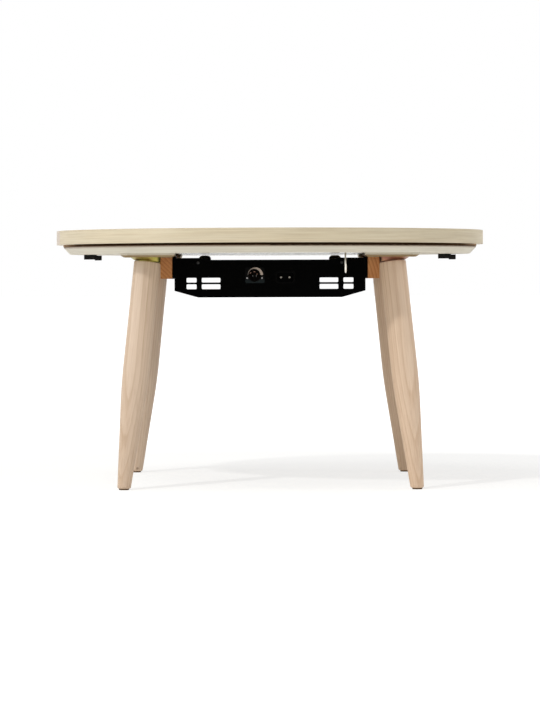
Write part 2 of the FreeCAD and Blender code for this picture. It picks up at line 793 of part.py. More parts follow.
def make_leg_plate(corner):
    """A pressed plate let into the block: round flange, wedge boss and a neck square to the leg."""
    body = new_body("leg_plate_" + corner)
    place_in_corner(body, corner)
    flange = new_sketch(body, "XY_Plane")
    draw_circle(flange, "0", "0", plate_radius)
    pad(body, flange, "Sizes.plate_thickness")
    root = new_sketch(body, "XY_Plane")
    draw_circle(root, "(Sizes.boss_shift - Sizes.plate_lead)", "0", boss_radius)
    face = new_sketch(body, "XY_Plane")
    tilt_sketch(face, "Sizes.boss_depth - Sizes.neck_height * cos(Sizes.leg_splay_angle)")
    draw_circle(face, "0", "0", sized("leg_radius - boss_end_inset"))
    loft = body.newObject("PartDesign::AdditiveLoft", body.Label + "_boss")
    loft.Profile = root
    loft.Sections = [face]
    loft.Ruled = True
    finish_feature(body, loft, grows=True)
    neck = new_sketch(body, "XY_Plane")
    tilt_sketch(neck, "Sizes.boss_depth")
    draw_circle(neck, "0", "0", "Sizes.neck_radius")
    pad(body, neck, "Sizes.neck_height")
    bore = new_sketch(body, "XZ_Plane")
    lean_sketch(bore, axis_x("Sizes.boss_depth"), "-Sizes.boss_depth")
    draw_box(bore, "0", sized("bolt_radius + fit"), "-Sizes.overrun", sized("boss_depth + overrun"))
    groove = body.newObject("PartDesign::Groove", body.Label + "_bore")
    groove.Profile = bore
    groove.ReferenceAxis = (bore, ["V_Axis"])
    groove.Angle = 360
    finish_feature(body, groove, grows=False)
    sinks = new_sketch(body, "XY_Plane")
    holes = new_sketch(body, "XY_Plane")
    for angle in plate_screw_angles:
        x = f"{plate_screw_circle} * cos({angle})"
        y = f"{plate_screw_circle} * sin({angle})"
        draw_circle(sinks, x, y, sized("plate_screw_head_radius + fit"))
        draw_circle(holes, x, y, sized("plate_screw_radius + fit"))
    cut(body, sinks, sized("plate_screw_head_height + fit"), reverse=True)
    cut(body, holes, "Sizes.plate_thickness", reverse=True)


def make_plate_screws():
    members = []
    for side_x, side_y, turn in corners.values():
        for angle in plate_screw_angles:
            member = screw("plate_screw", "Sizes.plate_screw_radius", "Sizes.plate_screw_length",
                           "Sizes.plate_screw_head_radius", "Sizes.plate_screw_head_height",
                           countersunk=True)
            x, y = plate_screw_place(side_x, side_y, turn, angle)
            place(member, x, y, f"{block_under} + Sizes.fit", 180, (1, 0, 0))
            members.append(member)
    group("leg_plate_screws", members)


def make_leg(corner):
    """A turned leg: straight above, tapered below, cut level at the floor and bored for its bolt."""
    body = new_body("leg_" + corner)
    place_in_corner(body, corner)
    profile = new_sketch(body, "XZ_Plane")
    lean_sketch(profile, axis_x("Sizes.boss_depth"), "-Sizes.boss_depth")
    length = f"(({block_under} - Sizes.boss_depth) / cos(Sizes.leg_splay_angle))"
    draw_outline(profile, [
        ("0", "0"),
        ("Sizes.leg_radius", "0", "Sizes.leg_top_round"),
        ("Sizes.leg_radius", "-Sizes.leg_straight_length", "Sizes.leg_taper_blend"),
        ("Sizes.leg_foot_radius", f"-{length}"),
        ("Sizes.leg_foot_radius", f"-({length} + Sizes.overrun)"),
        ("0", f"-({length} + Sizes.overrun)"),
    ])
    revolve(body, profile)
    sole_depth = f"({block_under} - Sizes.glide_thickness)"
    ground = new_sketch(body, "XY_Plane", f"-{sole_depth}")
    draw_circle(ground, axis_x(sole_depth), "0", "2 * Sizes.leg_radius")
    sole = cut(body, ground, "2 * Sizes.leg_radius")
    level = -value(sole_depth)

    def is_sole_edge(edge):
        return near(edge.BoundBox.ZMin, level) and near(edge.BoundBox.ZMax, level)

    round_edges(body, sole, "Sizes.foot_round", is_sole_edge)
    bore = new_sketch(body, "XZ_Plane")
    lean_sketch(bore, axis_x("Sizes.boss_depth"), "-Sizes.boss_depth")
    depth = sized("bolt_wood_length + fit")
    draw_box(bore, "0", sized("bolt_radius + fit"), f"-{depth}", "Sizes.overrun")
    groove = body.newObject("PartDesign::Groove", body.Label + "_bore")
    groove.Profile = bore
    groove.ReferenceAxis = (bore, ["V_Axis"])
    groove.Angle = 360
    finish_feature(body, groove, grows=False)


def make_hanger_bolts():
    """Bolts with a wood thread in the leg and a machine thread in the plate."""
    members = []
    for corner in corners:
        body = new_body("hanger_bolt", keep=False)
        place_in_corner(body, corner)
        profile = new_sketch(body, "XZ_Plane")
        lean_sketch(profile, axis_x("Sizes.boss_depth"), "-Sizes.boss_depth")
        draw_outline(profile, [
            ("0", "Sizes.boss_depth"),
            ("Sizes.bolt_radius", "Sizes.boss_depth"),
            ("Sizes.bolt_radius", sized("bolt_tip_length - bolt_wood_length")),
            ("Sizes.bolt_tip_radius", "-Sizes.bolt_wood_length"),
            ("0", "-Sizes.bolt_wood_length"),
        ])
        revolve(body, profile)
        members.append(body)
    group("hanger_bolts", members)


def make_foot_glide(corner):
    """The felt disc under a leg."""
    body = new_body("foot_glide_" + corner)
    place_in_corner(body, corner)
    sketch = new_sketch(body, "XY_Plane", f"-{block_under}")
    draw_circle(sketch, axis_x(f"{block_under} - Sizes.glide_thickness"), "0", "Sizes.glide_radius")
    pad(body, sketch, "Sizes.glide_thickness")


def make_top_felt_ring():
    """The felt strip round the underboard's rim that the loose top rests on."""
    body = new_body("top_felt_ring")
    sketch = new_sketch(body, "XY_Plane", board_top)
    outer = f"({board_top_radius} - Sizes.felt_rim_gap)"
    draw_circle(sketch, "0", "0", outer)
    draw_circle(sketch, "0", "0", f"({outer} - Sizes.felt_width)")
    pad(body, sketch, "Sizes.felt_thickness")


def make_rail(name, side):
    """A plain wooden rail under the board that carries one side of the heater."""
    body = new_body("heater_rail_" + name)
    sketch = new_sketch(body, "XZ_Plane", f"-{rail_half_length}")
    inner = f"{side} * {rail_inner}"
    outer = f"{side} * ({rail_inner} + Sizes.rail_width)"
    left, right = (inner, outer) if side > 0 else (outer, inner)
    draw_box(sketch, left, right, f"({board_under} - Sizes.rail_height)", board_under)
    pad(body, sketch, f"2 * {rail_half_length}")
    pilots = new_sketch(body, "XY_Plane", board_under)
    for step in rail_screw_steps:
        draw_circle(pilots, f"{side} * {rail_middle}", f"{step} * {rail_screw_y}",
                    sized("rail_screw_radius + fit"))
    cut(body, pilots, sized("rail_screw_length - board_thickness + fit"))
    bores = new_sketch(body, "YZ_Plane", inner)
    for hand in sides.values():
        draw_circle(bores, f"{hand} * {mount_screw_y}", mount_screw_z, sized("mount_screw_radius + fit"))
    depth = sized("mount_screw_length - spacer_thickness - shell_sheet + fit")
    cut(body, bores, depth, reverse=side > 0)


def make_rail_screws():
    members = []
    for side in sides.values():
        for step in rail_screw_steps:
            member = screw("rail_screw", "Sizes.rail_screw_radius",
                           "(Sizes.rail_screw_length - Sizes.rail_screw_head_height)",
                           "Sizes.rail_screw_head_radius", "Sizes.rail_screw_head_height")
            level = f"{board_top} - {sized('rail_screw_head_height + fit')}"
            place(member, f"{side} * {rail_middle}", f"{step} * {rail_screw_y}", level)
            members.append(member)
    group("rail_screws", members)


def make_housing():
    """The upper shell: a folded sheet with side walls, and a lip behind each panel."""
    body = new_body("heater_housing")
    inner = f"({shell_half_width} - Sizes.shell_sheet)"
    inner_bend = sized("shell_bend - shell_sheet / 2")
    sketch = new_sketch(body, "XZ_Plane", f"-{panel_inner_y}")
    draw_outline(sketch, [
        (f"-{shell_half_width}", shell_step),
        (f"-{shell_half_width}", shell_top, "Sizes.shell_bend"),
        (shell_half_width, shell_top, "Sizes.shell_bend"),
        (shell_half_width, shell_step),
        (inner, shell_step),
        (inner, shell_ceiling, inner_bend),
        (f"-{inner}", shell_ceiling, inner_bend),
        (f"-{inner}", shell_step),
    ])
    pad(body, sketch, f"2 * {panel_inner_y}")
    for offset in (panel_inner_y, f"({sized('shell_sheet')} - {panel_inner_y})"):
        lip = new_sketch(body, "XZ_Plane", offset)
        bottom = f"({shell_ceiling} - Sizes.lip_height)"
        lip_half = f"({shell_half_width} - Sizes.lip_end_gap)"
        draw_box(lip, f"-{lip_half}", lip_half, bottom, shell_ceiling)
        pad(body, lip, "Sizes.shell_sheet", reverse=True)
    studs = new_sketch(body, "XY_Plane", shell_top)
    for side in sides.values():
        draw_circle(studs, f"{side} * {holder_middle}", "0", sized("stud_radius + fit"))
    cut(body, studs, sized("shell_sheet + fit"))
    holes = new_sketch(body, "YZ_Plane")
    for hand in sides.values():
        draw_circle(holes, f"{hand} * {mount_screw_y}", mount_screw_z, sized("mount_screw_radius + fit"))
        draw_circle(holes, f"{hand} * {guard_screw_y}", guard_screw_z, sized("panel_screw_radius + fit"))
    cut_through(body, holes)
    cut_through(body, panel_screw_holes(body))


def panel_screw_holes(body):
    holes = new_sketch(body, "XZ_Plane")
    for side in sides.values():
        draw_circle(holes, f"{side} * {panel_screw_x}", panel_screw_z, sized("panel_screw_radius + fit"))
    return holes


def panel_body(label, outer_offset):
    """A steel panel that closes one end of the shell, stepped and chamfered as the guard is."""
    body = new_body(label)
    sketch = new_sketch(body, "XZ_Plane", outer_offset)
    ear_top = f"({shell_top} + Sizes.panel_ear_rise)"
    right_half = [
        (guard_flat, guard_bottom),
        (guard_half_width, guard_shoulder),
        (guard_half_width, shell_step),
        (shell_half_width, shell_step),
        (shell_half_width, ear_top),
        (f"({shell_half_width} - Sizes.panel_ear_width)", ear_top),
        (f"({shell_half_width} - {sized('panel_ear_width + panel_dip_width')})", shell_top),
    ]
    left_half = [("-" + x, z) for x, z in reversed(right_half)]
    draw_outline(sketch, right_half + left_half)
    pad(body, sketch, "Sizes.panel_sheet", reverse=True)
    cut_through(body, panel_screw_holes(body))
    return body


def cut_vents(body, rows, column_shares, radius):
    """Two rows of a long and a short slot on one side, mirrored to the other."""
    slots = new_sketch(body, "XZ_Plane")
    for rise, height in rows:
        bottom = f"({guard_shoulder} + {rise})"
        for left, right in column_shares:
            draw_box(slots, f"{left} * {guard_half_width}", f"{right} * {guard_half_width}",
                     bottom, f"({bottom} + {height})", radius)
    vents = cut_through(body, slots)
    mirror_feature(body, [vents], "YZ_Plane")


def make_front_panel():
    """The control panel: vents both sides, the dial's hole and the inlet's opening."""
    body = panel_body("heater_front_panel", panel_outer_y)
    cut_vents(
        body,
        [("Sizes.vent_low_rise", "Sizes.vent_low_height"),
         ("Sizes.vent_high_rise", "Sizes.vent_high_height")],
        vent_shares,
        "Sizes.vent_round",
    )
    openings = new_sketch(body, "XZ_Plane", panel_outer_y)
    draw_circle(openings, "Sizes.knob_x", knob_z, sized("switch_boss_radius + fit"))
    draw_box(openings, *inlet_box("inlet_half_width + fit", "inlet_half_height + fit"),
             "Sizes.inlet_round")
    cut(body, openings, "Sizes.panel_sheet")


def inlet_box(half_width, half_height):
    """Left, right, bottom and top of a box about the inlet's centre."""
    return (
        f"(Sizes.inlet_x - {sized(half_width)})",
        f"(Sizes.inlet_x + {sized(half_width)})",
        f"({inlet_z} - {sized(half_height)})",
        f"({inlet_z} + {sized(half_height)})",
    )


def make_rear_panel():
    body = panel_body("heater_rear_panel", f"(Sizes.panel_sheet - {panel_outer_y})")
    cut_vents(
        body,
        [("Sizes.rear_vent_low_rise", "Sizes.rear_vent_low_height"),
         ("Sizes.rear_vent_high_rise", "Sizes.rear_vent_high_height")],
        rear_vent_shares,
        "Sizes.rear_vent_round",
    )


def make_guard():
    """The punched guard: a folded tray whose bottom and sloped sides are cut in rows of slots."""
    body = new_body("guard_grille")
    inner = f"({guard_half_width} - Sizes.shell_sheet)"
    right = [
        (guard_flat, guard_bottom),
        (guard_half_width, guard_shoulder),
        (guard_half_width, guard_wall_top),
        (inner, guard_wall_top),
        (inner, f"({guard_shoulder} + Sizes.shell_sheet)"),
        (guard_flat, f"({guard_bottom} + Sizes.shell_sheet)"),
    ]
    left_low = [("-" + x, z) for x, z in reversed(right)]
    sketch = new_sketch(body, "XZ_Plane", f"-{panel_inner_y}")
    draw_outline(sketch, right + left_low)
    pad(body, sketch, f"2 * {panel_inner_y}")
    flat_bars = sized("guard_bar_width * (guard_slot_count - 1)")
    width = f"((2 * ({guard_flat} - Sizes.guard_side_margin) - {flat_bars}) / Sizes.guard_slot_count)"
    row_gaps = sized("guard_row_gap * (guard_row_count - 1)")
    length = f"((2 * ({panel_inner_y} - Sizes.guard_end_margin) - {row_gaps}) / Sizes.guard_row_count)"
    slope_slots = f"(Sizes.guard_slope_slot_count * ({width} + Sizes.guard_bar_width))"
    starts = [
        (f"(Sizes.guard_side_margin - {guard_flat})", "Sizes.guard_slot_count"),
        (f"({guard_flat} + Sizes.guard_slope_margin)", "Sizes.guard_slope_slot_count"),
        (f"(Sizes.guard_bar_width - {guard_flat} - Sizes.guard_slope_margin - {slope_slots})",
         "Sizes.guard_slope_slot_count"),
    ]
    for left, count in starts:
        punch_slots(body, left, width, length, count)
    holes = new_sketch(body, "YZ_Plane")
    for hand in sides.values():
        draw_circle(holes, f"{hand} * {guard_screw_y}", guard_screw_z, sized("panel_screw_radius + fit"))
    cut_through(body, holes)


def punch_slots(body, left, width, length, count):
    """One slot at the front left of a field, and its copies along X and Y."""
    front = f"(Sizes.guard_end_margin - {panel_inner_y})"
    slot = new_sketch(body, "XY_Plane", guard_bottom)
    draw_box(slot, left, f"({left} + {width})", front, f"({front} + {length})")
    hole = cut(body, slot, sized("guard_slope_height + overrun"), reverse=True)
    rows = [
        ("X_Axis", f"{width} + Sizes.guard_bar_width", count),
        ("Y_Axis", f"{length} + Sizes.guard_row_gap", "Sizes.guard_row_count"),
    ]
    repeat_grid(body, hole, rows)


def make_panel_screws():
    members = []
    for facing, turn in ((-1, 90), (1, -90)):
        for side in sides.values():
            member = screw("panel_screw", "Sizes.panel_screw_radius", "Sizes.panel_screw_length",
                           "Sizes.panel_screw_head_radius", "Sizes.panel_screw_head_height")
            place(member, f"{side} * {panel_screw_x}", f"{facing} * {panel_outer_y}",
                  panel_screw_z, turn, (1, 0, 0))
            members.append(member)
    group("panel_screws", members)


def side_screws(label, radius, length, head_radius, head_height, start_x, y, z):
    """Screws driven outward through both side walls, two on each side."""
    members = []
    for side in sides.values():
        for hand in sides.values():
            member = screw(label, radius, length, head_radius, head_height)
            place(member, f"{side} * {start_x}", f"{hand} * {y}", z, -90 * side, (0, 1, 0))
            members.append(member)
    return members


def make_guard_screws():
    length = sized("2 * shell_sheet + guard_gap + guard_screw_tip")
    members = side_screws("guard_screw", "Sizes.panel_screw_radius", length,
                          "Sizes.panel_screw_head_radius", "Sizes.panel_screw_head_height",
                          f"({guard_half_width} - Sizes.shell_sheet)", guard_screw_y, guard_screw_z)
    group("guard_screws", members)


def make_mount_screws():
    members = side_screws("heater_mount_screw", "Sizes.mount_screw_radius", "Sizes.mount_screw_length",
                          "Sizes.mount_screw_head_radius", "Sizes.mount_screw_head_height",
                          f"({shell_half_width} - Sizes.shell_sheet)", mount_screw_y, mount_screw_z)
    group("heater_mount_screws", members)


def make_mount_spacers():
    """Fibre washers that hold the hot shell off the wooden rails."""
    members = []
    for side in sides.values():
        for hand in sides.values():
            body = new_body("mount_spacer", keep=False)
            sketch = new_sketch(body, "YZ_Plane", f"{side} * {shell_half_width}")
            y = f"{hand} * {mount_screw_y}"
            draw_circle(sketch, y, mount_screw_z, "Sizes.spacer_radius")
            draw_circle(sketch, y, mount_screw_z, sized("mount_screw_radius + fit"))
            pad(body, sketch, "Sizes.spacer_thickness", reverse=side < 0)
            members.append(body)
    group("mount_spacers", members)


def make_reflector():
    """A folded bright sheet over the tube that throws its heat down."""
    body = new_body("heater_reflector")
    length = f"({holder_inner} - Sizes.reflector_end_gap)"
    sketch = new_sketch(body, "YZ_Plane", f"-{length}")
    crown = f"({shell_ceiling} - Sizes.fit)"
    under = f"({crown} - Sizes.reflector_sheet)"
    rim_z = f"({crown} - Sizes.reflector_height)"
    rim = f"({panel_inner_y} - Sizes.reflector_front_room)"
    shoulder = f"({rim} - Sizes.reflector_slope_width)"
    draw_outline(sketch, [
        (f"-{rim}", rim_z),
        (f"-{shoulder}", crown, "Sizes.reflector_bend"),
        (shoulder, crown, "Sizes.reflector_bend"),
        (rim, rim_z),
        (f"({rim} - 2 * Sizes.reflector_sheet)", rim_z),
        (shoulder, under, sized("reflector_bend - reflector_sheet")),
        (f"-{shoulder}", under, sized("reflector_bend - reflector_sheet")),
        (f"-({rim} - 2 * Sizes.reflector_sheet)", rim_z),
    ])
    pad(body, sketch, f"2 * {length}")


def make_quartz_tube():
    body = new_body("quartz_tube")
    half_length = f"({holder_inner} + {sized('tube_seat_depth - fit')})"
    sketch = new_sketch(body, "YZ_Plane", f"-{half_length}")
    draw_circle(sketch, "0", tube_z, "Sizes.tube_radius")
    draw_circle(sketch, "0", tube_z, sized("tube_radius - tube_wall"))
    pad(body, sketch, f"2 * {half_length}")


def make_heating_element():
    """The wire winding inside the tube, as the cylinder that it fills."""
    body = new_body("heating_element")
    half_length = f"({holder_inner} + {sized('tube_seat_depth - fit')})"
    sketch = new_sketch(body, "YZ_Plane", f"-{half_length}")
    draw_circle(sketch, "0", tube_z, "Sizes.element_radius")
    pad(body, sketch, f"2 * {half_length}")


def make_tube_holder(name, side):
    """A ceramic block that takes one end of the tube and hangs on a stud."""
    body = new_body("tube_holder_" + name)
    top = f"({shell_ceiling} - Sizes.fit)"
    bottom = f"({tube_z} - Sizes.holder_below_tube)"
    sketch = new_sketch(body, "YZ_Plane", f"{side} * {holder_outer}")
    half = "Sizes.holder_half_depth"
    bend = "Sizes.holder_round"
    draw_outline(sketch, [
        (f"-{half}", bottom, bend),
        (half, bottom, bend),
        (half, top),
        (f"-{half}", top),
    ])
    pad(body, sketch, "Sizes.holder_thickness", reverse=side > 0)
    seat = new_sketch(body, "YZ_Plane", f"{side} * {holder_inner}")
    draw_circle(seat, "0", tube_z, sized("tube_radius + fit"))
    cut(body, seat, "Sizes.tube_seat_depth", reverse=side > 0)
    bore = new_sketch(body, "XY_Plane", top)
    draw_circle(bore, f"{side} * {holder_middle}", "0", sized("stud_radius + fit"))
    cut(body, bore, "Sizes.stud_grip")


def make_holder_studs():
    members = []
    for side in sides.values():
        stud = document.addObject("Part::Cylinder", "holder_stud")
        stud.setExpression("Radius", "Sizes.stud_radius")
        stud.setExpression("Height", sized("stud_grip + stud_cap_grip"))
        place(stud, f"{side} * {holder_middle}", "0", f"{shell_ceiling} - {sized('stud_grip')}")
        members.append(stud)
    group("holder_studs", members)


def make_terminal_caps():
    """Rounded caps over the holders' studs on top of the shell."""
    members = []
    for side in sides.values():
        body = new_body("terminal_cap", keep=False)
        place(body, f"{side} * {holder_middle}", "0", shell_top)
        sketch = new_sketch(body, "XZ_Plane")
        bore = sized("stud_radius + fit")
        draw_outline(sketch, [
            (bore, "0"),
            ("Sizes.cap_radius", "0"),
            ("Sizes.cap_radius", "Sizes.cap_height", "Sizes.cap_round"),
            ("0", "Sizes.cap_height"),
            ("0", "Sizes.stud_cap_grip"),
            (bore, "Sizes.stud_cap_grip"),
        ])
        revolve(body, sketch)
        members.append(body)
    group("terminal_caps", members)


def make_thermostat():
    """The switch behind the panel: a block with a round boss that stands in the panel's hole."""
    body = new_body("thermostat_body")
    sketch = new_sketch(body, "XZ_Plane", panel_inner_y)
    draw_box(sketch, sized("knob_x - switch_half_width"), sized("knob_x + switch_half_width"),
             f"({knob_z} - Sizes.switch_half_height)", f"({knob_z} + Sizes.switch_half_height)",
             "Sizes.switch_round")
    pad(body, sketch, "Sizes.switch_depth", reverse=True)
    boss = new_sketch(body, "XZ_Plane", panel_inner_y)
    draw_circle(boss, "Sizes.knob_x", knob_z, "Sizes.switch_boss_radius")
    pad(body, boss, "Sizes.panel_sheet")
    bore = new_sketch(body, "XZ_Plane", panel_outer_y)
    draw_circle(bore, "Sizes.knob_x", knob_z, sized("spindle_radius + spindle_gap"))
    cut(body, bore, sized("panel_sheet + switch_boss_depth + spindle_seat"))


def make_dial_bezel():
    """The plate on the panel's front that frames the knob."""
    body = new_body("dial_bezel")
    sketch = new_sketch(body, "XZ_Plane", panel_outer_y)
    left = sized("knob_x - bezel_left_reach")
    bottom = f"({knob_z} - Sizes.bezel_low_reach)"
    draw_box(sketch, left, f"({left} + Sizes.bezel_width)", bottom, f"({bottom} + Sizes.bezel_height)",
             "Sizes.bezel_round")
    pad(body, sketch, "Sizes.bezel_thickness")
    bore = new_sketch(body, "XZ_Plane", panel_outer_y)
    draw_circle(bore, "Sizes.knob_x", knob_z, sized("spindle_radius + spindle_gap"))
    cut(body, bore, sized("bezel_thickness + overrun"), reverse=True)


def make_knob():
    """The dial: a round skirt with a grip bar across it, on the switch's spindle."""
    body = new_body("thermostat_knob")
    base = f"({panel_outer_y} + {sized('bezel_thickness + knob_stand_off')})"
    skirt = new_sketch(body, "XZ_Plane", base)
    draw_circle(skirt, "Sizes.knob_x", knob_z, "Sizes.knob_radius")
    disc = pad(body, skirt, "Sizes.knob_skirt")
    front = -value(f"{base} + Sizes.knob_skirt")

    def is_front_rim(edge):
        return near(edge.BoundBox.YMin, front) and near(edge.BoundBox.YMax, front)

    round_edges(body, disc, sized("knob_skirt / 4"), is_front_rim)
    grip = new_sketch(body, "XZ_Plane", base)
    half = sized("knob_grip_width / 2")
    reach = sized("knob_radius - knob_skirt / 2")
    draw_box(grip, f"(Sizes.knob_x - {half})", f"(Sizes.knob_x + {half})",
             f"({knob_z} - {reach})", f"({knob_z} + {reach})", "Sizes.knob_grip_round")
    pad(body, grip, "Sizes.knob_height")
    bore = new_sketch(body, "XZ_Plane", base)
    draw_circle(bore, "Sizes.knob_x", knob_z, sized("spindle_radius + fit"))
    cut(body, bore, "Sizes.spindle_seat", reverse=True)


def make_knob_spindle():
    """The switch's turning spindle, flattened along one side."""
    body = new_body("thermostat_spindle")
    start = f"({panel_inner_y} - {sized('switch_boss_depth')})"
    length = sized("switch_boss_depth + panel_sheet + bezel_thickness + knob_stand_off + spindle_seat - fit")
    sketch = new_sketch(body, "XZ_Plane", start)
    draw_circle(sketch, "Sizes.knob_x", knob_z, "Sizes.spindle_radius")
    pad(body, sketch, length)
    flat = new_sketch(body, "XZ_Plane", start)
    level = f"({knob_z} + {sized('spindle_radius - spindle_flat')})"
    draw_box(flat, sized("knob_x - spindle_radius - overrun"), sized("knob_x + spindle_radius + overrun"),
             level, f"({level} + {sized('spindle_flat + overrun')})")
    cut(body, flat, f"({length} + Sizes.overrun)", reverse=True)


def make_inlet_socket():
    """The recessed appliance inlet: a rounded cup with a flange behind the panel."""
    body = new_body("inlet_socket")
    cup = new_sketch(body, "XZ_Plane", panel_outer_y)
    draw_box(cup, *inlet_box("inlet_half_width", "inlet_half_height"), "Sizes.inlet_round")
    pad(body, cup, "Sizes.inlet_depth", reverse=True)
    flange = new_sketch(body, "XZ_Plane", panel_inner_y)
    draw_box(flange, *inlet_box("inlet_half_width + inlet_flange", "inlet_half_height + inlet_flange"),
             "Sizes.inlet_round")
    pad(body, flange, "Sizes.inlet_wall", reverse=True)
    hollow = new_sketch(body, "XZ_Plane", panel_outer_y)
    draw_box(hollow, *inlet_box("inlet_half_width - inlet_wall", "inlet_half_height - inlet_wall"),
             sized("inlet_round - inlet_wall / 2"))
    cut(body, hollow, sized("inlet_depth - inlet_floor"))
    bores = new_sketch(body, "XZ_Plane", panel_outer_y)
    for side in sides.values():
        draw_circle(bores, f"(Sizes.inlet_x + {side} * Sizes.pin_spacing / 2)", inlet_z,
                    sized("pin_tail_radius + fit"))
    cut(body, bores, sized("inlet_depth + overrun"))


def make_inlet_pins():
    members = []
    for side in sides.values():
        body = new_body("inlet_pin", keep=False)
        x = f"(Sizes.inlet_x + {side} * Sizes.pin_spacing / 2)"
        place(body, x, f"{sized('inlet_depth + pin_tail')} - {panel_outer_y}", inlet_z, 90, (1, 0, 0))
        length = sized("inlet_depth + pin_tail - pin_recess")
        sketch = new_sketch(body, "XZ_Plane")
        draw_outline(sketch, [
            ("0", "0"),
            ("Sizes.pin_tail_radius", "0"),
            ("Sizes.pin_tail_radius", sized("pin_tail + inlet_floor")),
            ("Sizes.pin_radius", sized("pin_tail + inlet_floor")),
            ("Sizes.pin_radius", length, sized("pin_radius / 2")),
            ("0", length),
        ])
        revolve(body, sketch)
        members.append(body)
    group("inlet_pins", members)


def make_lead(route):
    """An insulated lead that lies level: a round section along straight runs and tangent bends."""
    body = new_body("inner_lead", keep=False)
    start_x, start_y = route[0]
    path = new_sketch(body, "XY_Plane", lead_z)
    draw_outline(path, route, closed=False)
    section = new_sketch(body, "XZ_Plane", f"-({start_y})")
    draw_circle(section, start_x, lead_z, "Sizes.lead_radius")
    pipe = body.newObject("PartDesign::AdditivePipe", body.Label + "_run")
    pipe.Profile = section
    pipe.Spine = path
    finish_feature(body, pipe, grows=True)
    return body


def make_leads():
    """Leads from the inlet and the switch to the tube's ends, one of them through the fuse."""
    bend = "Sizes.lead_bend"
    holder_y = "(-Sizes.holder_half_depth)"
    pin_y = f"({sized('inlet_depth + pin_tail')} - {panel_outer_y})"
    supply_x = sized("inlet_x + pin_spacing / 2")
    supply_y = f"({pin_y} + Sizes.lead_run)"
    return_x = sized("knob_x - switch_half_width / 2")
    return_y = f"({switch_back} + Sizes.lead_run)"
    fuse_front = f"({fuse_middle} - Sizes.fuse_length / 2)"
    fuse_rear = f"({fuse_middle} + Sizes.fuse_length / 2)"
    left_x = f"(0 - {holder_middle})"
    members = [
        make_lead([(supply_x, pin_y), (supply_x, supply_y, bend), (holder_middle, supply_y, bend),
                   (holder_middle, holder_y)]),
        make_lead([(return_x, switch_back), (return_x, return_y, bend), (left_x, return_y, bend),
                   (left_x, fuse_front)]),
        make_lead([(left_x, fuse_rear), (left_x, holder_y)]),
    ]
    group("inner_leads", members)


def make_thermal_fuse():
    """The overheat fuse, in line with the switched lead."""
    body = new_body("thermal_fuse")
    sketch = new_sketch(body, "XZ_Plane", f"-({fuse_middle} + Sizes.fuse_length / 2)")
    draw_circle(sketch, f"(0 - {holder_middle})", lead_z, "Sizes.fuse_radius")
    pad(body, sketch, "Sizes.fuse_length")


def make_cord_hook():
    """A plated wire hook screwed up into the board, its open side to the front."""
    body = new_body("cord_hook")
    neck = f"({board_under} - Sizes.hook_shank_length)"
    shank = new_sketch(body, "XY_Plane", neck)
    draw_circle(shank, hook_x, hook_y, "Sizes.hook_shank_radius")
    pad(body, shank, sized("hook_shank_length + hook_thread_depth"))
    bottom = f"({board_under} - {sized('hook_drop - hook_wire_radius')})"
    tip_y = f"({hook_y} - {sized('2 * hook_bend_radius + hook_bottom_flat')})"
    path = new_sketch(body, "YZ_Plane", hook_x)
    draw_outline(path, [
        (hook_y, neck),
        (hook_y, bottom, "Sizes.hook_bend_radius"),
        (tip_y, bottom, "Sizes.hook_bend_radius"),
        (tip_y, f"({bottom} + {sized('hook_bend_radius + hook_tip_rise')})"),
    ], closed=False)
    section = new_sketch(body, "XY_Plane", neck)
    draw_circle(section, hook_x, hook_y, "Sizes.hook_wire_radius")
    pipe = body.newObject("PartDesign::AdditivePipe", "cord_hook_wire")
    pipe.Profile = section
    pipe.Spine = path
    finish_feature(body, pipe, grows=True)


def make_lock_lever(name, side):
    """The moulded turn-button under the board: a block against it and a dropped finger grip."""
    body = new_body("lock_lever_" + name)
    top = f"({board_under} - Sizes.lock_gap)"
    place(body, f"{side} * {lock_x}", "0", top)
    width = "Sizes.lever_half_width"
    block = new_sketch(body, "XY_Plane", "-Sizes.lever_height")
    draw_outline(block, [
        ("-Sizes.lever_tail", f"-{width}", "Sizes.lever_round"),
        ("Sizes.lever_block_reach", f"-{width}"),
        ("Sizes.lever_block_reach", width),
        ("-Sizes.lever_tail", width, "Sizes.lever_round"),
    ])
    pad(body, block, "Sizes.lever_height")
    grip_depth = sized("lever_height + grip_fall")
    grip = new_sketch(body, "XY_Plane", f"-{grip_depth}")
    half = sized("lever_half_width - grip_inset")
    root = sized("lever_block_reach - lever_round")
    tip = sized("lever_block_reach + lever_tip_reach")
    draw_outline(grip, [
        (root, f"-{half}"),
        (tip, f"-{half}", "Sizes.lever_round"),
        (tip, half, "Sizes.lever_round"),
        (root, half),
    ])
    tongue = pad(body, grip, f"({grip_depth} - Sizes.grip_drop)")
    low = -value(grip_depth)
    end_x = value(tip)

    def is_tip_edge(edge):
        box = edge.BoundBox
        return near(box.ZMin, low) and near(box.ZMax, low) and near(box.XMin, end_x)

    round_edges(body, tongue, "Sizes.grip_round", is_tip_edge)
    bore = new_sketch(body, "XY_Plane", "-Sizes.lever_height")
    draw_circle(bore, "0", "0", sized("lock_spindle_radius + fit"))
    cut(body, bore, sized("lever_height + overrun"), reverse=True)


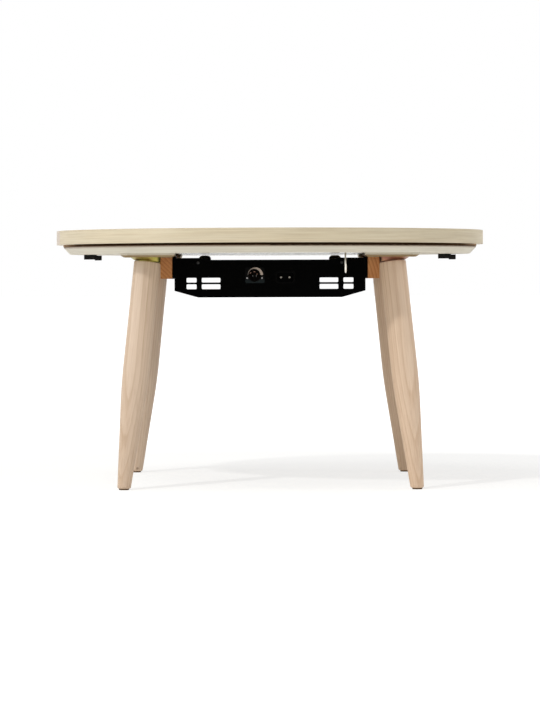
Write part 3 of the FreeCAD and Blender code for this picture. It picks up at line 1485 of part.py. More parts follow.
def make_lock_spindle(name, side):
    """The lock's steel pin with the cross bar that turns behind the striker."""
    body = new_body("lock_spindle_" + name)
    base = f"({board_under} - {sized('lock_gap + lever_height')})"
    bar_bottom = f"({top_under} + {sized('striker_thickness + lock_bar_gap')})"
    place(body, f"{side} * {lock_x}", "0", base)
    sketch = new_sketch(body, "XY_Plane")
    draw_circle(sketch, "0", "0", "Sizes.lock_spindle_radius")
    pad(body, sketch, f"({bar_bottom} - {base} + Sizes.lock_bar_height)")
    bar = new_sketch(body, "XY_Plane", f"({bar_bottom} - {base})")
    draw_box(bar, f"-{lock_bar_width} / 2", f"{lock_bar_width} / 2",
             "-Sizes.lock_bar_length / 2", "Sizes.lock_bar_length / 2", f"{lock_bar_width} / 4")
    pad(body, bar, "Sizes.lock_bar_height")
    groove = new_sketch(body, "XY_Plane", f"({board_top} - {base} + Sizes.clip_lift)")
    draw_circle(groove, "0", "0", "Sizes.lock_spindle_radius")
    draw_circle(groove, "0", "0", sized("lock_spindle_radius - clip_thickness / 2"))
    cut(body, groove, "Sizes.clip_thickness", reverse=True)


def make_lock_clip(name, side):
    """The spring clip on the pin that keeps it from dropping out of the board."""
    body = new_body("lock_clip_" + name)
    place(body, f"{side} * {lock_x}", "0", f"{board_top} + Sizes.clip_lift")
    sketch = new_sketch(body, "XY_Plane")
    draw_circle(sketch, "0", "0", sized("lock_spindle_radius + clip_rim"))
    draw_circle(sketch, "0", "0", sized("lock_spindle_radius - clip_thickness / 2"))
    pad(body, sketch, "Sizes.clip_thickness")
    mouth = new_sketch(body, "XY_Plane")
    half = sized("lock_spindle_radius - clip_thickness")
    draw_box(mouth, "0", sized("lock_spindle_radius + clip_rim + overrun"), f"-{half}", half)
    cut(body, mouth, "Sizes.clip_thickness", reverse=True)


def build_table():
    make_tabletop()
    make_edge_band()
    make_striker_screws()
    make_board()
    make_top_felt_ring()
    for corner in corners:
        make_corner_block(corner)
        make_leg_plate(corner)
        make_leg(corner)
        make_foot_glide(corner)
    make_plate_screws()
    make_hanger_bolts()
    for name, side in sides.items():
        make_striker(name, side)
        make_lock_lever(name, side)
        make_lock_spindle(name, side)
        make_lock_clip(name, side)
        make_rail(name, side)
        make_tube_holder(name, side)
    make_rail_screws()
    make_cord_hook()
    make_housing()
    make_front_panel()
    make_rear_panel()
    make_guard()
    make_panel_screws()
    make_guard_screws()
    make_mount_screws()
    make_mount_spacers()
    make_reflector()
    make_quartz_tube()
    make_heating_element()
    make_holder_studs()
    make_terminal_caps()
    make_thermostat()
    make_dial_bezel()
    make_knob()
    make_knob_spindle()
    make_inlet_socket()
    make_inlet_pins()
    make_leads()
    make_thermal_fuse()


def check_table():
    """Stop if anything failed to build."""
    document.recompute()
    for item in document.Objects:
        if {"Invalid", "Error"} & set(item.State):
            raise RuntimeError(f"{item.Label} is in state {item.State}")
    for part in table_parts:
        if part.Shape.isNull() or not part.Shape.isValid() or not part.Shape.Solids:
            raise RuntimeError(f"{part.Label} has no valid solid")


def write_parts():
    os.makedirs("parts", exist_ok=True)
    for part in table_parts:
        part.Shape.exportStep(f"parts/{part.Label}.step")
        box = part.Shape.BoundBox
        print(f"{part.Label}: {len(part.Shape.Solids)} solids, {part.Shape.Volume:.0f} mm3, "
              f"x {box.XMin:.1f} to {box.XMax:.1f}, y {box.YMin:.1f} to {box.YMax:.1f}, "
              f"z {box.ZMin:.1f} to {box.ZMax:.1f}")


build_table()
check_table()
write_parts()
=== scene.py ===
import json
import math

import bmesh
import bpy
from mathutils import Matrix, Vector

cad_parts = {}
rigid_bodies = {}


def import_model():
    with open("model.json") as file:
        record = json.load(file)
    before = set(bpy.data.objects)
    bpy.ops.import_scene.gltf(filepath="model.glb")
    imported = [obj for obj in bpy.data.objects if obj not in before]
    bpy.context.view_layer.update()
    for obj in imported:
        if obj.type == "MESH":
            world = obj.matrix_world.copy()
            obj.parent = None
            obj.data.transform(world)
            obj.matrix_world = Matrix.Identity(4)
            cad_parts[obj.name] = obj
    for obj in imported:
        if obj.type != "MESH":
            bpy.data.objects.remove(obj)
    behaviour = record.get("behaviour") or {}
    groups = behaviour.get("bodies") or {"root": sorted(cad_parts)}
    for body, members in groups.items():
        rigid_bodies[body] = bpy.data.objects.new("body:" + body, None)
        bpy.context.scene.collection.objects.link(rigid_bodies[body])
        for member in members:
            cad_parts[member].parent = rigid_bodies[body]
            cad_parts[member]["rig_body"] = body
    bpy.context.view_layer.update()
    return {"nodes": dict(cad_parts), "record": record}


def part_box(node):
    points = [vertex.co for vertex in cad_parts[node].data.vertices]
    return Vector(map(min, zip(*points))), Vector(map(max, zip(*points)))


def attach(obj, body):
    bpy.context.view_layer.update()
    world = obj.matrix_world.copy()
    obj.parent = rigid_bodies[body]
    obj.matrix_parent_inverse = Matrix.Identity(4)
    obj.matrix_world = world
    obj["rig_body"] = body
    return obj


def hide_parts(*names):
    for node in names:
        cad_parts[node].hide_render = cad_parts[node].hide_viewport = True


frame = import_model()
nodes = frame["nodes"]


# Helpers: colours, nodes, materials and meshes

noiseSpot = 0.6                  # m: about the width of a spot in a noise texture of Scale 1
waveRepeat = 2 * math.pi / 20    # m: the length over which a wave texture of Scale 1 repeats
fibreDraw = 0.03                 # wood fibres are drawn 33 times as long as they are wide


def linearColour(hexText):
    values = []
    for start in (0, 2, 4):
        value = int(hexText[start:start + 2], 16) / 255
        values.append(value / 12.92 if value <= 0.04045 else ((value + 0.055) / 1.055) ** 2.4)
    return (*values, 1.0)


def setInputs(tree, node, values):
    # A node stands for its first output; what is neither node nor socket is a plain value
    for name, value in values.items():
        if isinstance(value, bpy.types.Node):
            value = value.outputs[0]
        if isinstance(value, bpy.types.NodeSocket):
            tree.links.new(value, node.inputs[name])
        else:
            node.inputs[name].default_value = value


def addNode(tree, kind, inputs=None, stops=None, **settings):
    node = tree.nodes.new(kind)
    for key, value in settings.items():
        setattr(node, key, value)
    setInputs(tree, node, inputs or {})
    if stops:  # the colour stops of a ramp, as (place, hex colour) pairs
        marks = node.color_ramp.elements
        while len(marks) < len(stops):
            marks.new(0.5)
        for mark, (position, shade) in zip(marks, stops):
            mark.position = position
            mark.color = linearColour(shade)
    return node


def startMaterial(name, shaderValues):
    material = bpy.data.materials.new(name)
    material.use_nodes = True
    tree = material.node_tree
    setInputs(tree, tree.nodes["Principled BSDF"], shaderValues)
    return material, tree, addNode(tree, "ShaderNodeTexCoord").outputs["Object"]


def endMaterial(material, colour, relief, depth, roughness=None, tint=None, strength=0.4):
    # Blends in the tint where its rule says, and gives the shader its colour, relief and roughness
    tree = material.node_tree
    if tint:
        share, shade = tint
        place = addNode(tree, "ShaderNodeTexCoord").outputs["Object"]
        colour = addNode(tree, "ShaderNodeMix", {
            0: share(tree, place), 6: colour, 7: linearColour(shade)}, data_type="RGBA").outputs[2]
    bump = addNode(tree, "ShaderNodeBump", {
        "Height": relief, "Distance": depth, "Strength": strength})
    ends = {"Base Color": colour, "Normal": bump}
    if roughness is not None:
        ends["Roughness"] = roughness
    setInputs(tree, tree.nodes["Principled BSDF"], ends)
    return material


def newObject(name, data):
    item = bpy.data.objects.new(name, data)
    bpy.context.scene.collection.objects.link(item)
    return item


# Camera, floor and light

shot = {
    "focalLength": 158.75,    # mm, on a sensor whose long side is sensorSize
    "sensorSize": 36.0,
    "nearest": 0.1,
    "farthest": 60.0,
    "place": (0.0, -5.08, 0.3206),
    "downAngle": 1.443,
    "roll": 0.18,
}


def placeCamera():
    data = bpy.data.cameras.new("studioCamera")
    data.lens = shot["focalLength"]
    data.sensor_width = shot["sensorSize"]
    data.clip_start = shot["nearest"]
    data.clip_end = shot["farthest"]
    camera = newObject("studioCamera", data)
    camera.location = shot["place"]
    camera.rotation_euler = (
        math.radians(90 - shot["downAngle"]), math.radians(shot["roll"]), 0)
    bpy.context.scene.camera = camera


studio = {
    "skyLevel": 0.47,
    "floorColour": "f6f5f2",
    "floorShade": 0.50,      # how much of the floor's own shading the camera sees
    "floorWhite": 1.24,
    "floorReach": 1.3,       # m from the table at which the floor has faded into the backdrop
    "fadeStart": 0.6,        # the share of that reach at which it starts to fade
    "floorHalf": 60.0,
    "lampDistance": 6.0,
    "lampAim": 0.3,          # the height that the lamps point at
}
lamps = {
    # Degrees from the front, negative to the left; height and spread in degrees; level
    "keyLamp": (-36, 40, 3, 0.30),         # small: the top's shadow ends sharply on the legs
    "headSoftBox": (-36, 62, 26, 0.17),    # large, above it: the darker patch under the table
    "leftSoftBox": (-80, 20, 28, 0.16),
    "rightSoftBox": (80, 20, 28, 0.16),
}


def seenDirectly(tree):
    # One for what the camera sees, also in mirrors and through glass
    rays = addNode(tree, "ShaderNodeLightPath").outputs
    seen = rays["Is Camera Ray"]
    for ray in ("Is Glossy Ray", "Is Transmission Ray"):
        seen = addNode(tree, "ShaderNodeMath", {0: seen, 1: rays[ray]}, operation="MAXIMUM")
    return seen


def layFloor():
    # Paper that takes the table's shadow, fades into the white backdrop and is clear from below
    material = bpy.data.materials.new("studioFloorPaper")
    material.use_nodes = True
    tree = material.node_tree
    tree.nodes.remove(tree.nodes["Principled BSDF"])
    paper = addNode(tree, "ShaderNodeBsdfDiffuse", {"Color": linearColour(studio["floorColour"])})
    white = addNode(tree, "ShaderNodeEmission", {"Strength": studio["floorWhite"]})
    place = addNode(tree, "ShaderNodeTexCoord").outputs["Object"]
    away = addNode(tree, "ShaderNodeVectorMath", {0: place}, operation="LENGTH")
    share = addNode(tree, "ShaderNodeMapRange", {
        0: away.outputs["Value"], 1: studio["fadeStart"] * studio["floorReach"],
        2: studio["floorReach"], 3: 1 - studio["floorShade"], 4: 1.0,
    }, interpolation_type="SMOOTHSTEP")
    seen = addNode(tree, "ShaderNodeMath", {0: seenDirectly(tree), 1: share},
                   operation="MULTIPLY")
    both = addNode(tree, "ShaderNodeMixShader", {0: seen, 1: paper, 2: white})
    below = addNode(tree, "ShaderNodeNewGeometry").outputs["Backfacing"]
    clear = addNode(tree, "ShaderNodeBsdfTransparent")
    laid = addNode(tree, "ShaderNodeMixShader", {0: below, 1: both, 2: clear})
    setInputs(tree, tree.nodes["Material Output"], {"Surface": laid})
    half = studio["floorHalf"]
    mesh = bpy.data.meshes.new("studioFloor")
    mesh.from_pydata([(-half, -half, 0), (half, -half, 0), (half, half, 0), (-half, half, 0)],
                     [], [(0, 1, 2, 3)])
    mesh.materials.append(material)
    newObject("studioFloor", mesh)


def lampAt(name, around, height, spread, level):
    # A disc lamp aimed at the table; its spread is the angle that it fills, seen from there
    distance = studio["lampDistance"]
    data = bpy.data.lights.new(name, "AREA")
    data.shape = "DISK"
    data.size = 2 * distance * math.tan(math.radians(spread / 2))
    data.energy = math.pi ** 2 * level * distance ** 2
    lamp = newObject(name, data)
    turn, rise = math.radians(around), math.radians(height)
    towards = Vector((math.sin(turn) * math.cos(rise), -math.cos(turn) * math.cos(rise),
                      math.sin(rise)))
    lamp.location = towards * distance + Vector((0, 0, studio["lampAim"]))
    lamp.rotation_euler = towards.to_track_quat("Z", "Y").to_euler()


def lightStudio():
    world = bpy.data.worlds.new("studioAir")
    world.use_nodes = True
    bpy.context.scene.world = world
    tree = world.node_tree
    tree.nodes.clear()
    plain = (1, 1, 1, 1)
    light = addNode(tree, "ShaderNodeBackground", {
        "Color": plain, "Strength": studio["skyLevel"]})
    white = addNode(tree, "ShaderNodeBackground", {"Color": plain, "Strength": 1.0})
    both = addNode(tree, "ShaderNodeMixShader", {0: seenDirectly(tree), 1: light, 2: white})
    addNode(tree, "ShaderNodeOutputWorld", {"Surface": both}, is_active_output=True)
    for name, lamp in lamps.items():
        lampAt(name, *lamp)


placeCamera()
layFloor()
lightStudio()
bpy.context.scene.view_settings.view_transform = "Standard"
print("stage ready")


# Materials. Inputs 6 and 7 of a Mix node are its two colours; 1 to 4 of Map Range are from and to

def woodMaterial(name, wood, shaderValues):
    # Growth rings round a pith line, with fibres drawn out along it, in the plank's own frame
    material, tree, place = startMaterial(name, shaderValues)
    own = addNode(tree, "ShaderNodeMapping", {
        "Vector": place, "Location": wood["pith"], "Rotation": wood["turn"]},
        vector_type="TEXTURE")
    drawn = addNode(tree, "ShaderNodeMapping", {"Vector": own, "Scale": (1, 1, wood["drawOut"])})
    rings = addNode(tree, "ShaderNodeTexWave", {
        "Vector": drawn, "Scale": waveRepeat / wood["ringWidth"], "Distortion": wood["waver"],
        "Detail": 3.0, "Detail Scale": wood["waverScale"], "Detail Roughness": 0.55,
    }, wave_type="RINGS", rings_direction="Z", wave_profile="SAW").outputs["Fac"]
    colour = addNode(tree, "ShaderNodeValToRGB", {"Fac": rings}, stops=wood["ringStops"])
    fibreSpace = addNode(tree, "ShaderNodeMapping", {"Vector": own, "Scale": (1, 1, fibreDraw)})
    fibres = addNode(tree, "ShaderNodeTexNoise", {
        "Vector": fibreSpace, "Scale": noiseSpot / wood["fibreWidth"], "Detail": 4.0,
        "Roughness": 0.65})
    cloud = addNode(tree, "ShaderNodeTexNoise", {  # 27 mm wide
        "Vector": drawn, "Scale": 22.0, "Detail": 2.0})
    for share, layer, stops in (
            (wood["fibreShare"], fibres, wood["fibreStops"]), (1.0, cloud, wood["cloudStops"])):
        shade = addNode(tree, "ShaderNodeValToRGB", {"Fac": layer}, stops=stops)
        colour = addNode(tree, "ShaderNodeMix", {0: share, 6: colour, 7: shade},
                         data_type="RGBA", blend_type="MULTIPLY").outputs[2]
    return endMaterial(material, colour, fibres, wood["pore"], tint=wood.get("tint"), strength=0.5)


planks = {
    "width": 0.113,
    "logReach": 7.0,        # m along the log over which the planks' places are spread
    "skew": 0.030,          # how steeply the pith line leaves the face
    "pithDepth": 0.02,
    "drawOut": 0.09,
    "ringWidth": 0.0075,
    "waver": 3.2,
    "ringStops": [(0.0, "e4d8c0"), (0.55, "dfd2b8"), (0.88, "cfbe9e"), (1.0, "ddcfb5")],
    "fibreScale": 700.0,    # 0.9 mm wide, coarser than real pores so that they show
    "fibreStops": [(0.30, "d2c8b8"), (0.52, "ffffff")],
    "fibreShare": 0.75,
    "darkest": 0.94,        # from plank to plank
    "lightest": 1.04,
    "pore": 0.00004,
}


def makeTopLaminate():
    # Wood-grain paper under a clear melamine skin: pale planks, grain along X, a soft even sheen
    material, tree, place = startMaterial("melamineLaminatePressed", {"Roughness": 0.42})
    spot = addNode(tree, "ShaderNodeSeparateXYZ", {0: place}).outputs
    row = addNode(tree, "ShaderNodeMath", {0: spot["Y"], 1: 1 / planks["width"]},
                  operation="MULTIPLY")
    row = addNode(tree, "ShaderNodeMath", {0: row, 1: 0.5}, operation="ADD")
    index = addNode(tree, "ShaderNodeMath", {0: row}, operation="FLOOR")
    across = addNode(tree, "ShaderNodeMath", {0: row}, operation="FRACT")
    chance = addNode(tree, "ShaderNodeTexWhiteNoise", {"W": index}, noise_dimensions="1D")
    chances = addNode(tree, "ShaderNodeSeparateColor", {0: chance.outputs["Color"]}).outputs
    along = addNode(tree, "ShaderNodeMath", {
        0: chances[0], 1: planks["logReach"], 2: spot["X"]}, operation="MULTIPLY_ADD")
    aside = addNode(tree, "ShaderNodeMath", {0: across, 1: chances[1]}, operation="SUBTRACT")
    aside = addNode(tree, "ShaderNodeMath", {0: aside, 1: planks["width"]}, operation="MULTIPLY")
    depth = addNode(tree, "ShaderNodeMath", {
        0: along, 1: planks["skew"], 2: planks["pithDepth"]}, operation="MULTIPLY_ADD")
    own = addNode(tree, "ShaderNodeCombineXYZ", {0: aside, 1: depth, 2: along})
    drawn = addNode(tree, "ShaderNodeMapping", {
        "Vector": own, "Scale": (1, 1, planks["drawOut"])})
    rings = addNode(tree, "ShaderNodeTexWave", {
        "Vector": drawn, "Scale": waveRepeat / planks["ringWidth"],
        "Distortion": planks["waver"], "Detail": 3.0, "Detail Scale": 0.55,
        "Detail Roughness": 0.6,
    }, wave_type="RINGS", rings_direction="Z", wave_profile="SAW").outputs["Fac"]
    grain = addNode(tree, "ShaderNodeValToRGB", {"Fac": rings}, stops=planks["ringStops"])
    fibreSpace = addNode(tree, "ShaderNodeMapping", {
        "Vector": own, "Scale": (1, 1, fibreDraw)})
    fibres = addNode(tree, "ShaderNodeTexNoise", {
        "Vector": fibreSpace, "Scale": planks["fibreScale"], "Detail": 4.0, "Roughness": 0.7})
    streaks = addNode(tree, "ShaderNodeValToRGB", {"Fac": fibres}, stops=planks["fibreStops"])
    colour = addNode(tree, "ShaderNodeMix", {0: planks["fibreShare"], 6: grain, 7: streaks},
                     data_type="RGBA", blend_type="MULTIPLY").outputs[2]
    shade = addNode(tree, "ShaderNodeMapRange", {
        0: chances[2], 3: planks["darkest"], 4: planks["lightest"]})
    toned = addNode(tree, "ShaderNodeVectorMath", {0: colour, "Scale": shade}, operation="SCALE")
    return endMaterial(material, toned, fibres, planks["pore"], strength=0.35)


rimPrint = {
    "streaks": (9, 9, 620),    # per metre: streaks 70 mm long round the rim and 1 mm high
    "clouds": (14, 14, 90),
    "darkest": 0.95,
    "lightest": 1.03,
    "relief": 0.00003,
    "flecks": 900.0,           # 0.7 mm wide
    "fleckShare": 0.50,
    "fleckRoughness": 0.06,
}


def makeRimStrip(name, strip):
    # Printed wood grain, ironed or pressed on: streaks that run level round the rim, satin
    material, tree, place = startMaterial(name, {})
    roughness = strip["roughness"]
    if strip.get("glossBelow"):
        # Above the heater the underside has polished flecks that mirror at a glancing angle
        spot = addNode(tree, "ShaderNodeSeparateXYZ", {0: place}).outputs
        aside = addNode(tree, "ShaderNodeMath", {0: spot["X"]}, operation="ABSOLUTE")
        flecks = addNode(tree, "ShaderNodeTexNoise", {
            "Vector": place, "Scale": rimPrint["flecks"], "Detail": 1.0})
        dull = 0.0
        for value, limit in ((aside, strip["glossHalfWidth"]), (spot["Z"], strip["glossBelow"]),
                             (flecks, rimPrint["fleckShare"])):
            past = addNode(tree, "ShaderNodeMath", {0: value, 1: limit}, operation="GREATER_THAN")
            dull = addNode(tree, "ShaderNodeMath", {0: dull, 1: past}, operation="MAXIMUM")
        roughness = addNode(tree, "ShaderNodeMapRange", {
            0: dull, 3: rimPrint["fleckRoughness"], 4: strip["roughness"]})
    level = addNode(tree, "ShaderNodeMapping", {"Vector": place, "Scale": rimPrint["streaks"]})
    wide = addNode(tree, "ShaderNodeTexNoise", {
        "Vector": level, "Scale": 1.0, "Detail": 5.0, "Roughness": 0.62})
    streaks = addNode(tree, "ShaderNodeValToRGB", {"Fac": wide}, stops=strip["stops"])
    slow = addNode(tree, "ShaderNodeMapping", {"Vector": place, "Scale": rimPrint["clouds"]})
    cloud = addNode(tree, "ShaderNodeTexNoise", {"Vector": slow, "Scale": 1.0, "Detail": 2.0})
    tone = addNode(tree, "ShaderNodeMapRange", {
        0: cloud, 1: 0.3, 2: 0.7, 3: rimPrint["darkest"], 4: rimPrint["lightest"]})
    toned = addNode(tree, "ShaderNodeVectorMath", {0: streaks, "Scale": tone}, operation="SCALE")
    return endMaterial(material, toned, wide, rimPrint["relief"], roughness, strip["tint"])


def heightShare(low, high, end=1.0):
    # Grows from none at the low height to full at the high one, and is none again above an end
    def share(tree, place):
        height = addNode(tree, "ShaderNodeSeparateXYZ", {0: place}).outputs["Z"]
        grown = addNode(tree, "ShaderNodeMapRange", {0: height, 1: low, 2: high})
        inside = addNode(tree, "ShaderNodeMath", {0: height, 1: end}, operation="LESS_THAN")
        return addNode(tree, "ShaderNodeMath", {0: grown, 1: inside}, operation="MULTIPLY")
    return share


def asideShare(low, high):
    # The same by the distance to the left or right of the middle
    def share(tree, place):
        across = addNode(tree, "ShaderNodeSeparateXYZ", {0: place}).outputs["X"]
        aside = addNode(tree, "ShaderNodeMath", {0: across}, operation="ABSOLUTE")
        return addNode(tree, "ShaderNodeMapRange", {0: aside, 1: low, 2: high})
    return share


def jointShare(tree, place):
    # The band's two ends butt at the far left: behind the joint its print fades to a greyer one
    turned = addNode(tree, "ShaderNodeMapping", {
        "Vector": place, "Rotation": (0, 0, math.radians(-13.4))})
    around = addNode(tree, "ShaderNodeTexGradient", {"Vector": turned}, gradient_type="RADIAL")
    return addNode(tree, "ShaderNodeMapRange", {
        0: around.outputs["Fac"], 1: 0.75, 2: 1.0, 4: 0.75})


def makeRailPine():
    # Planed pine, unfinished: orange brown, rings slanting on the end grain
    return woodMaterial("pinePlaned", {
        "pith": (-0.30, 0, 0.20), "turn": (math.radians(90), 0, 0), "drawOut": 0.05,
        "ringWidth": 0.0052, "waver": 1.6, "waverScale": 0.6,
        "ringStops": [(0.0, "dda066"), (0.5, "d4945a"), (0.86, "c27e4a"), (1.0, "d6965a")],
        "fibreWidth": 0.0009,
        "fibreStops": [(0.30, "dccbb8"), (0.55, "ffffff")],
        "fibreShare": 0.5,
        "cloudStops": [(0.35, "eee6dd"), (0.65, "ffffff")],
        "pore": 0.00008,
    }, {"Roughness": 0.7})


def makeBlockPoplar():
    # Sawn poplar, unfinished: greyish tan and rough, with faint rings
    return woodMaterial("poplarSawn", {
        "pith": (0.0, 0.05, 0.33), "turn": (0, math.radians(90), 0), "drawOut": 0.05,
        "ringWidth": 0.006, "waver": 2.0, "waverScale": 0.7,
        "ringStops": [(0.0, "a38e68"), (0.6, "98825b"), (0.9, "826946"), (1.0, "9c8660")],
        "fibreWidth": 0.0011,
        "fibreStops": [(0.32, "bba78f"), (0.55, "ffffff")],
        "fibreShare": 0.7,
        "cloudStops": [(0.35, "e6dccf"), (0.65, "ffffff")],
        "pore": 0.0001,
        # Its upright edges wear the board's pale strip
        "tint": (heightShare(0.3588, 0.3592), "cdc5b4"),
    }, {"Roughness": 0.75})


zincCoat = {
    "drift": 55.0,      # clouds 11 mm wide
    "specks": 900.0,    # 0.7 mm wide, coarser than the real crystals so that they show
    "rough": (0.28, 0.46),
    "dent": 0.00002,
}


def makeYellowZinc(name, stops):
    # Steel pressed, zinc plated, yellow passivated: a cloudy drift of colour, unlike on each piece
    material, tree, place = startMaterial(name, {"Metallic": 1.0})
    drift = addNode(tree, "ShaderNodeTexNoise", {
        "Vector": place, "Scale": zincCoat["drift"], "Detail": 3.0, "Distortion": 0.6})
    colour = addNode(tree, "ShaderNodeValToRGB", {"Fac": drift}, stops=stops)
    speck = addNode(tree, "ShaderNodeTexNoise", {
        "Vector": place, "Scale": zincCoat["specks"], "Detail": 2.0})
    low, high = zincCoat["rough"]
    rough = addNode(tree, "ShaderNodeMapRange", {0: speck, 3: low, 4: high})
    return endMaterial(material, colour, speck, zincCoat["dent"], rough)


faintRelief = 0.00001    # m: for a smooth surface


def shadeStops(shades):
    # Where the two shades of a plain finish stand on its ramp
    return list(zip((0.3, 0.7), shades))


def makePlatedMetal(name, plate):
    # Plated or drawn metal: even colour with fine cloudy wear, drawn lines where it was pulled.
    # The wear is drawn coarser than it is, so that it shows: a scale of 700 is 0.9 mm
    material, tree, place = startMaterial(name, {"Metallic": 1.0})
    space = addNode(tree, "ShaderNodeMapping", {
        "Vector": place, "Scale": plate.get("draw", (1, 1, 1))})
    cloud = addNode(tree, "ShaderNodeTexNoise", {
        "Vector": space, "Scale": plate["scale"], "Detail": 4.0, "Roughness": 0.6})
    colour = addNode(tree, "ShaderNodeValToRGB", {"Fac": cloud}, stops=shadeStops(plate["shades"]))
    low, high = plate["rough"]
    rough = addNode(tree, "ShaderNodeMapRange", {0: cloud, 3: low, 4: high})
    return endMaterial(material, colour, cloud, plate.get("dent", faintRelief), rough,
                       plate.get("tint"))


def makeMoulded(name, resin):
    # Enamel, moulded resin, ceramic, rubber or felt: a base colour with a real surface texture
    material, tree, place = startMaterial(name, {
        "Specular IOR Level": resin.get("specular", 0.5), **resin.get("shader", {})})
    grit = addNode(tree, "ShaderNodeTexNoise", {
        "Vector": place, "Scale": noiseSpot / resin["gritWidth"], "Detail": 3.0,
        "Roughness": 0.6})
    cloud = addNode(tree, "ShaderNodeTexNoise", {"Vector": place, "Scale": 30.0, "Detail": 3.0})
    both = addNode(tree, "ShaderNodeMix", {0: 0.4, 2: cloud, 3: grit})
    colour = addNode(tree, "ShaderNodeValToRGB", {"Fac": both}, stops=shadeStops(resin["shades"]))
    low, high = resin["rough"]
    rough = addNode(tree, "ShaderNodeMapRange", {0: both, 1: 0.3, 2: 0.7, 3: low, 4: high})
    return endMaterial(material, colour, grit, resin.get("grit", faintRelief), rough,
                       resin.get("tint"), resin.get("gritStrength", 0.5))


def makeQuartz():
    # Drawn quartz tube: clear with faint draw lines along it
    material, tree, place = startMaterial("quartzGlassDrawn", {
        "Transmission Weight": 0.85, "IOR": 1.458, "Roughness": 0.08, "Alpha": 0.55})
    space = addNode(tree, "ShaderNodeMapping", {"Vector": place, "Scale": (0.02, 1, 1)})
    lines = addNode(tree, "ShaderNodeTexNoise", {"Vector": space, "Scale": 900.0, "Detail": 2.0})
    colour = addNode(tree, "ShaderNodeValToRGB", {"Fac": lines},
                     stops=shadeStops(("e4e8ea", "f6f8f8")))
    return endMaterial(material, colour, lines, faintRelief, strength=0.3)


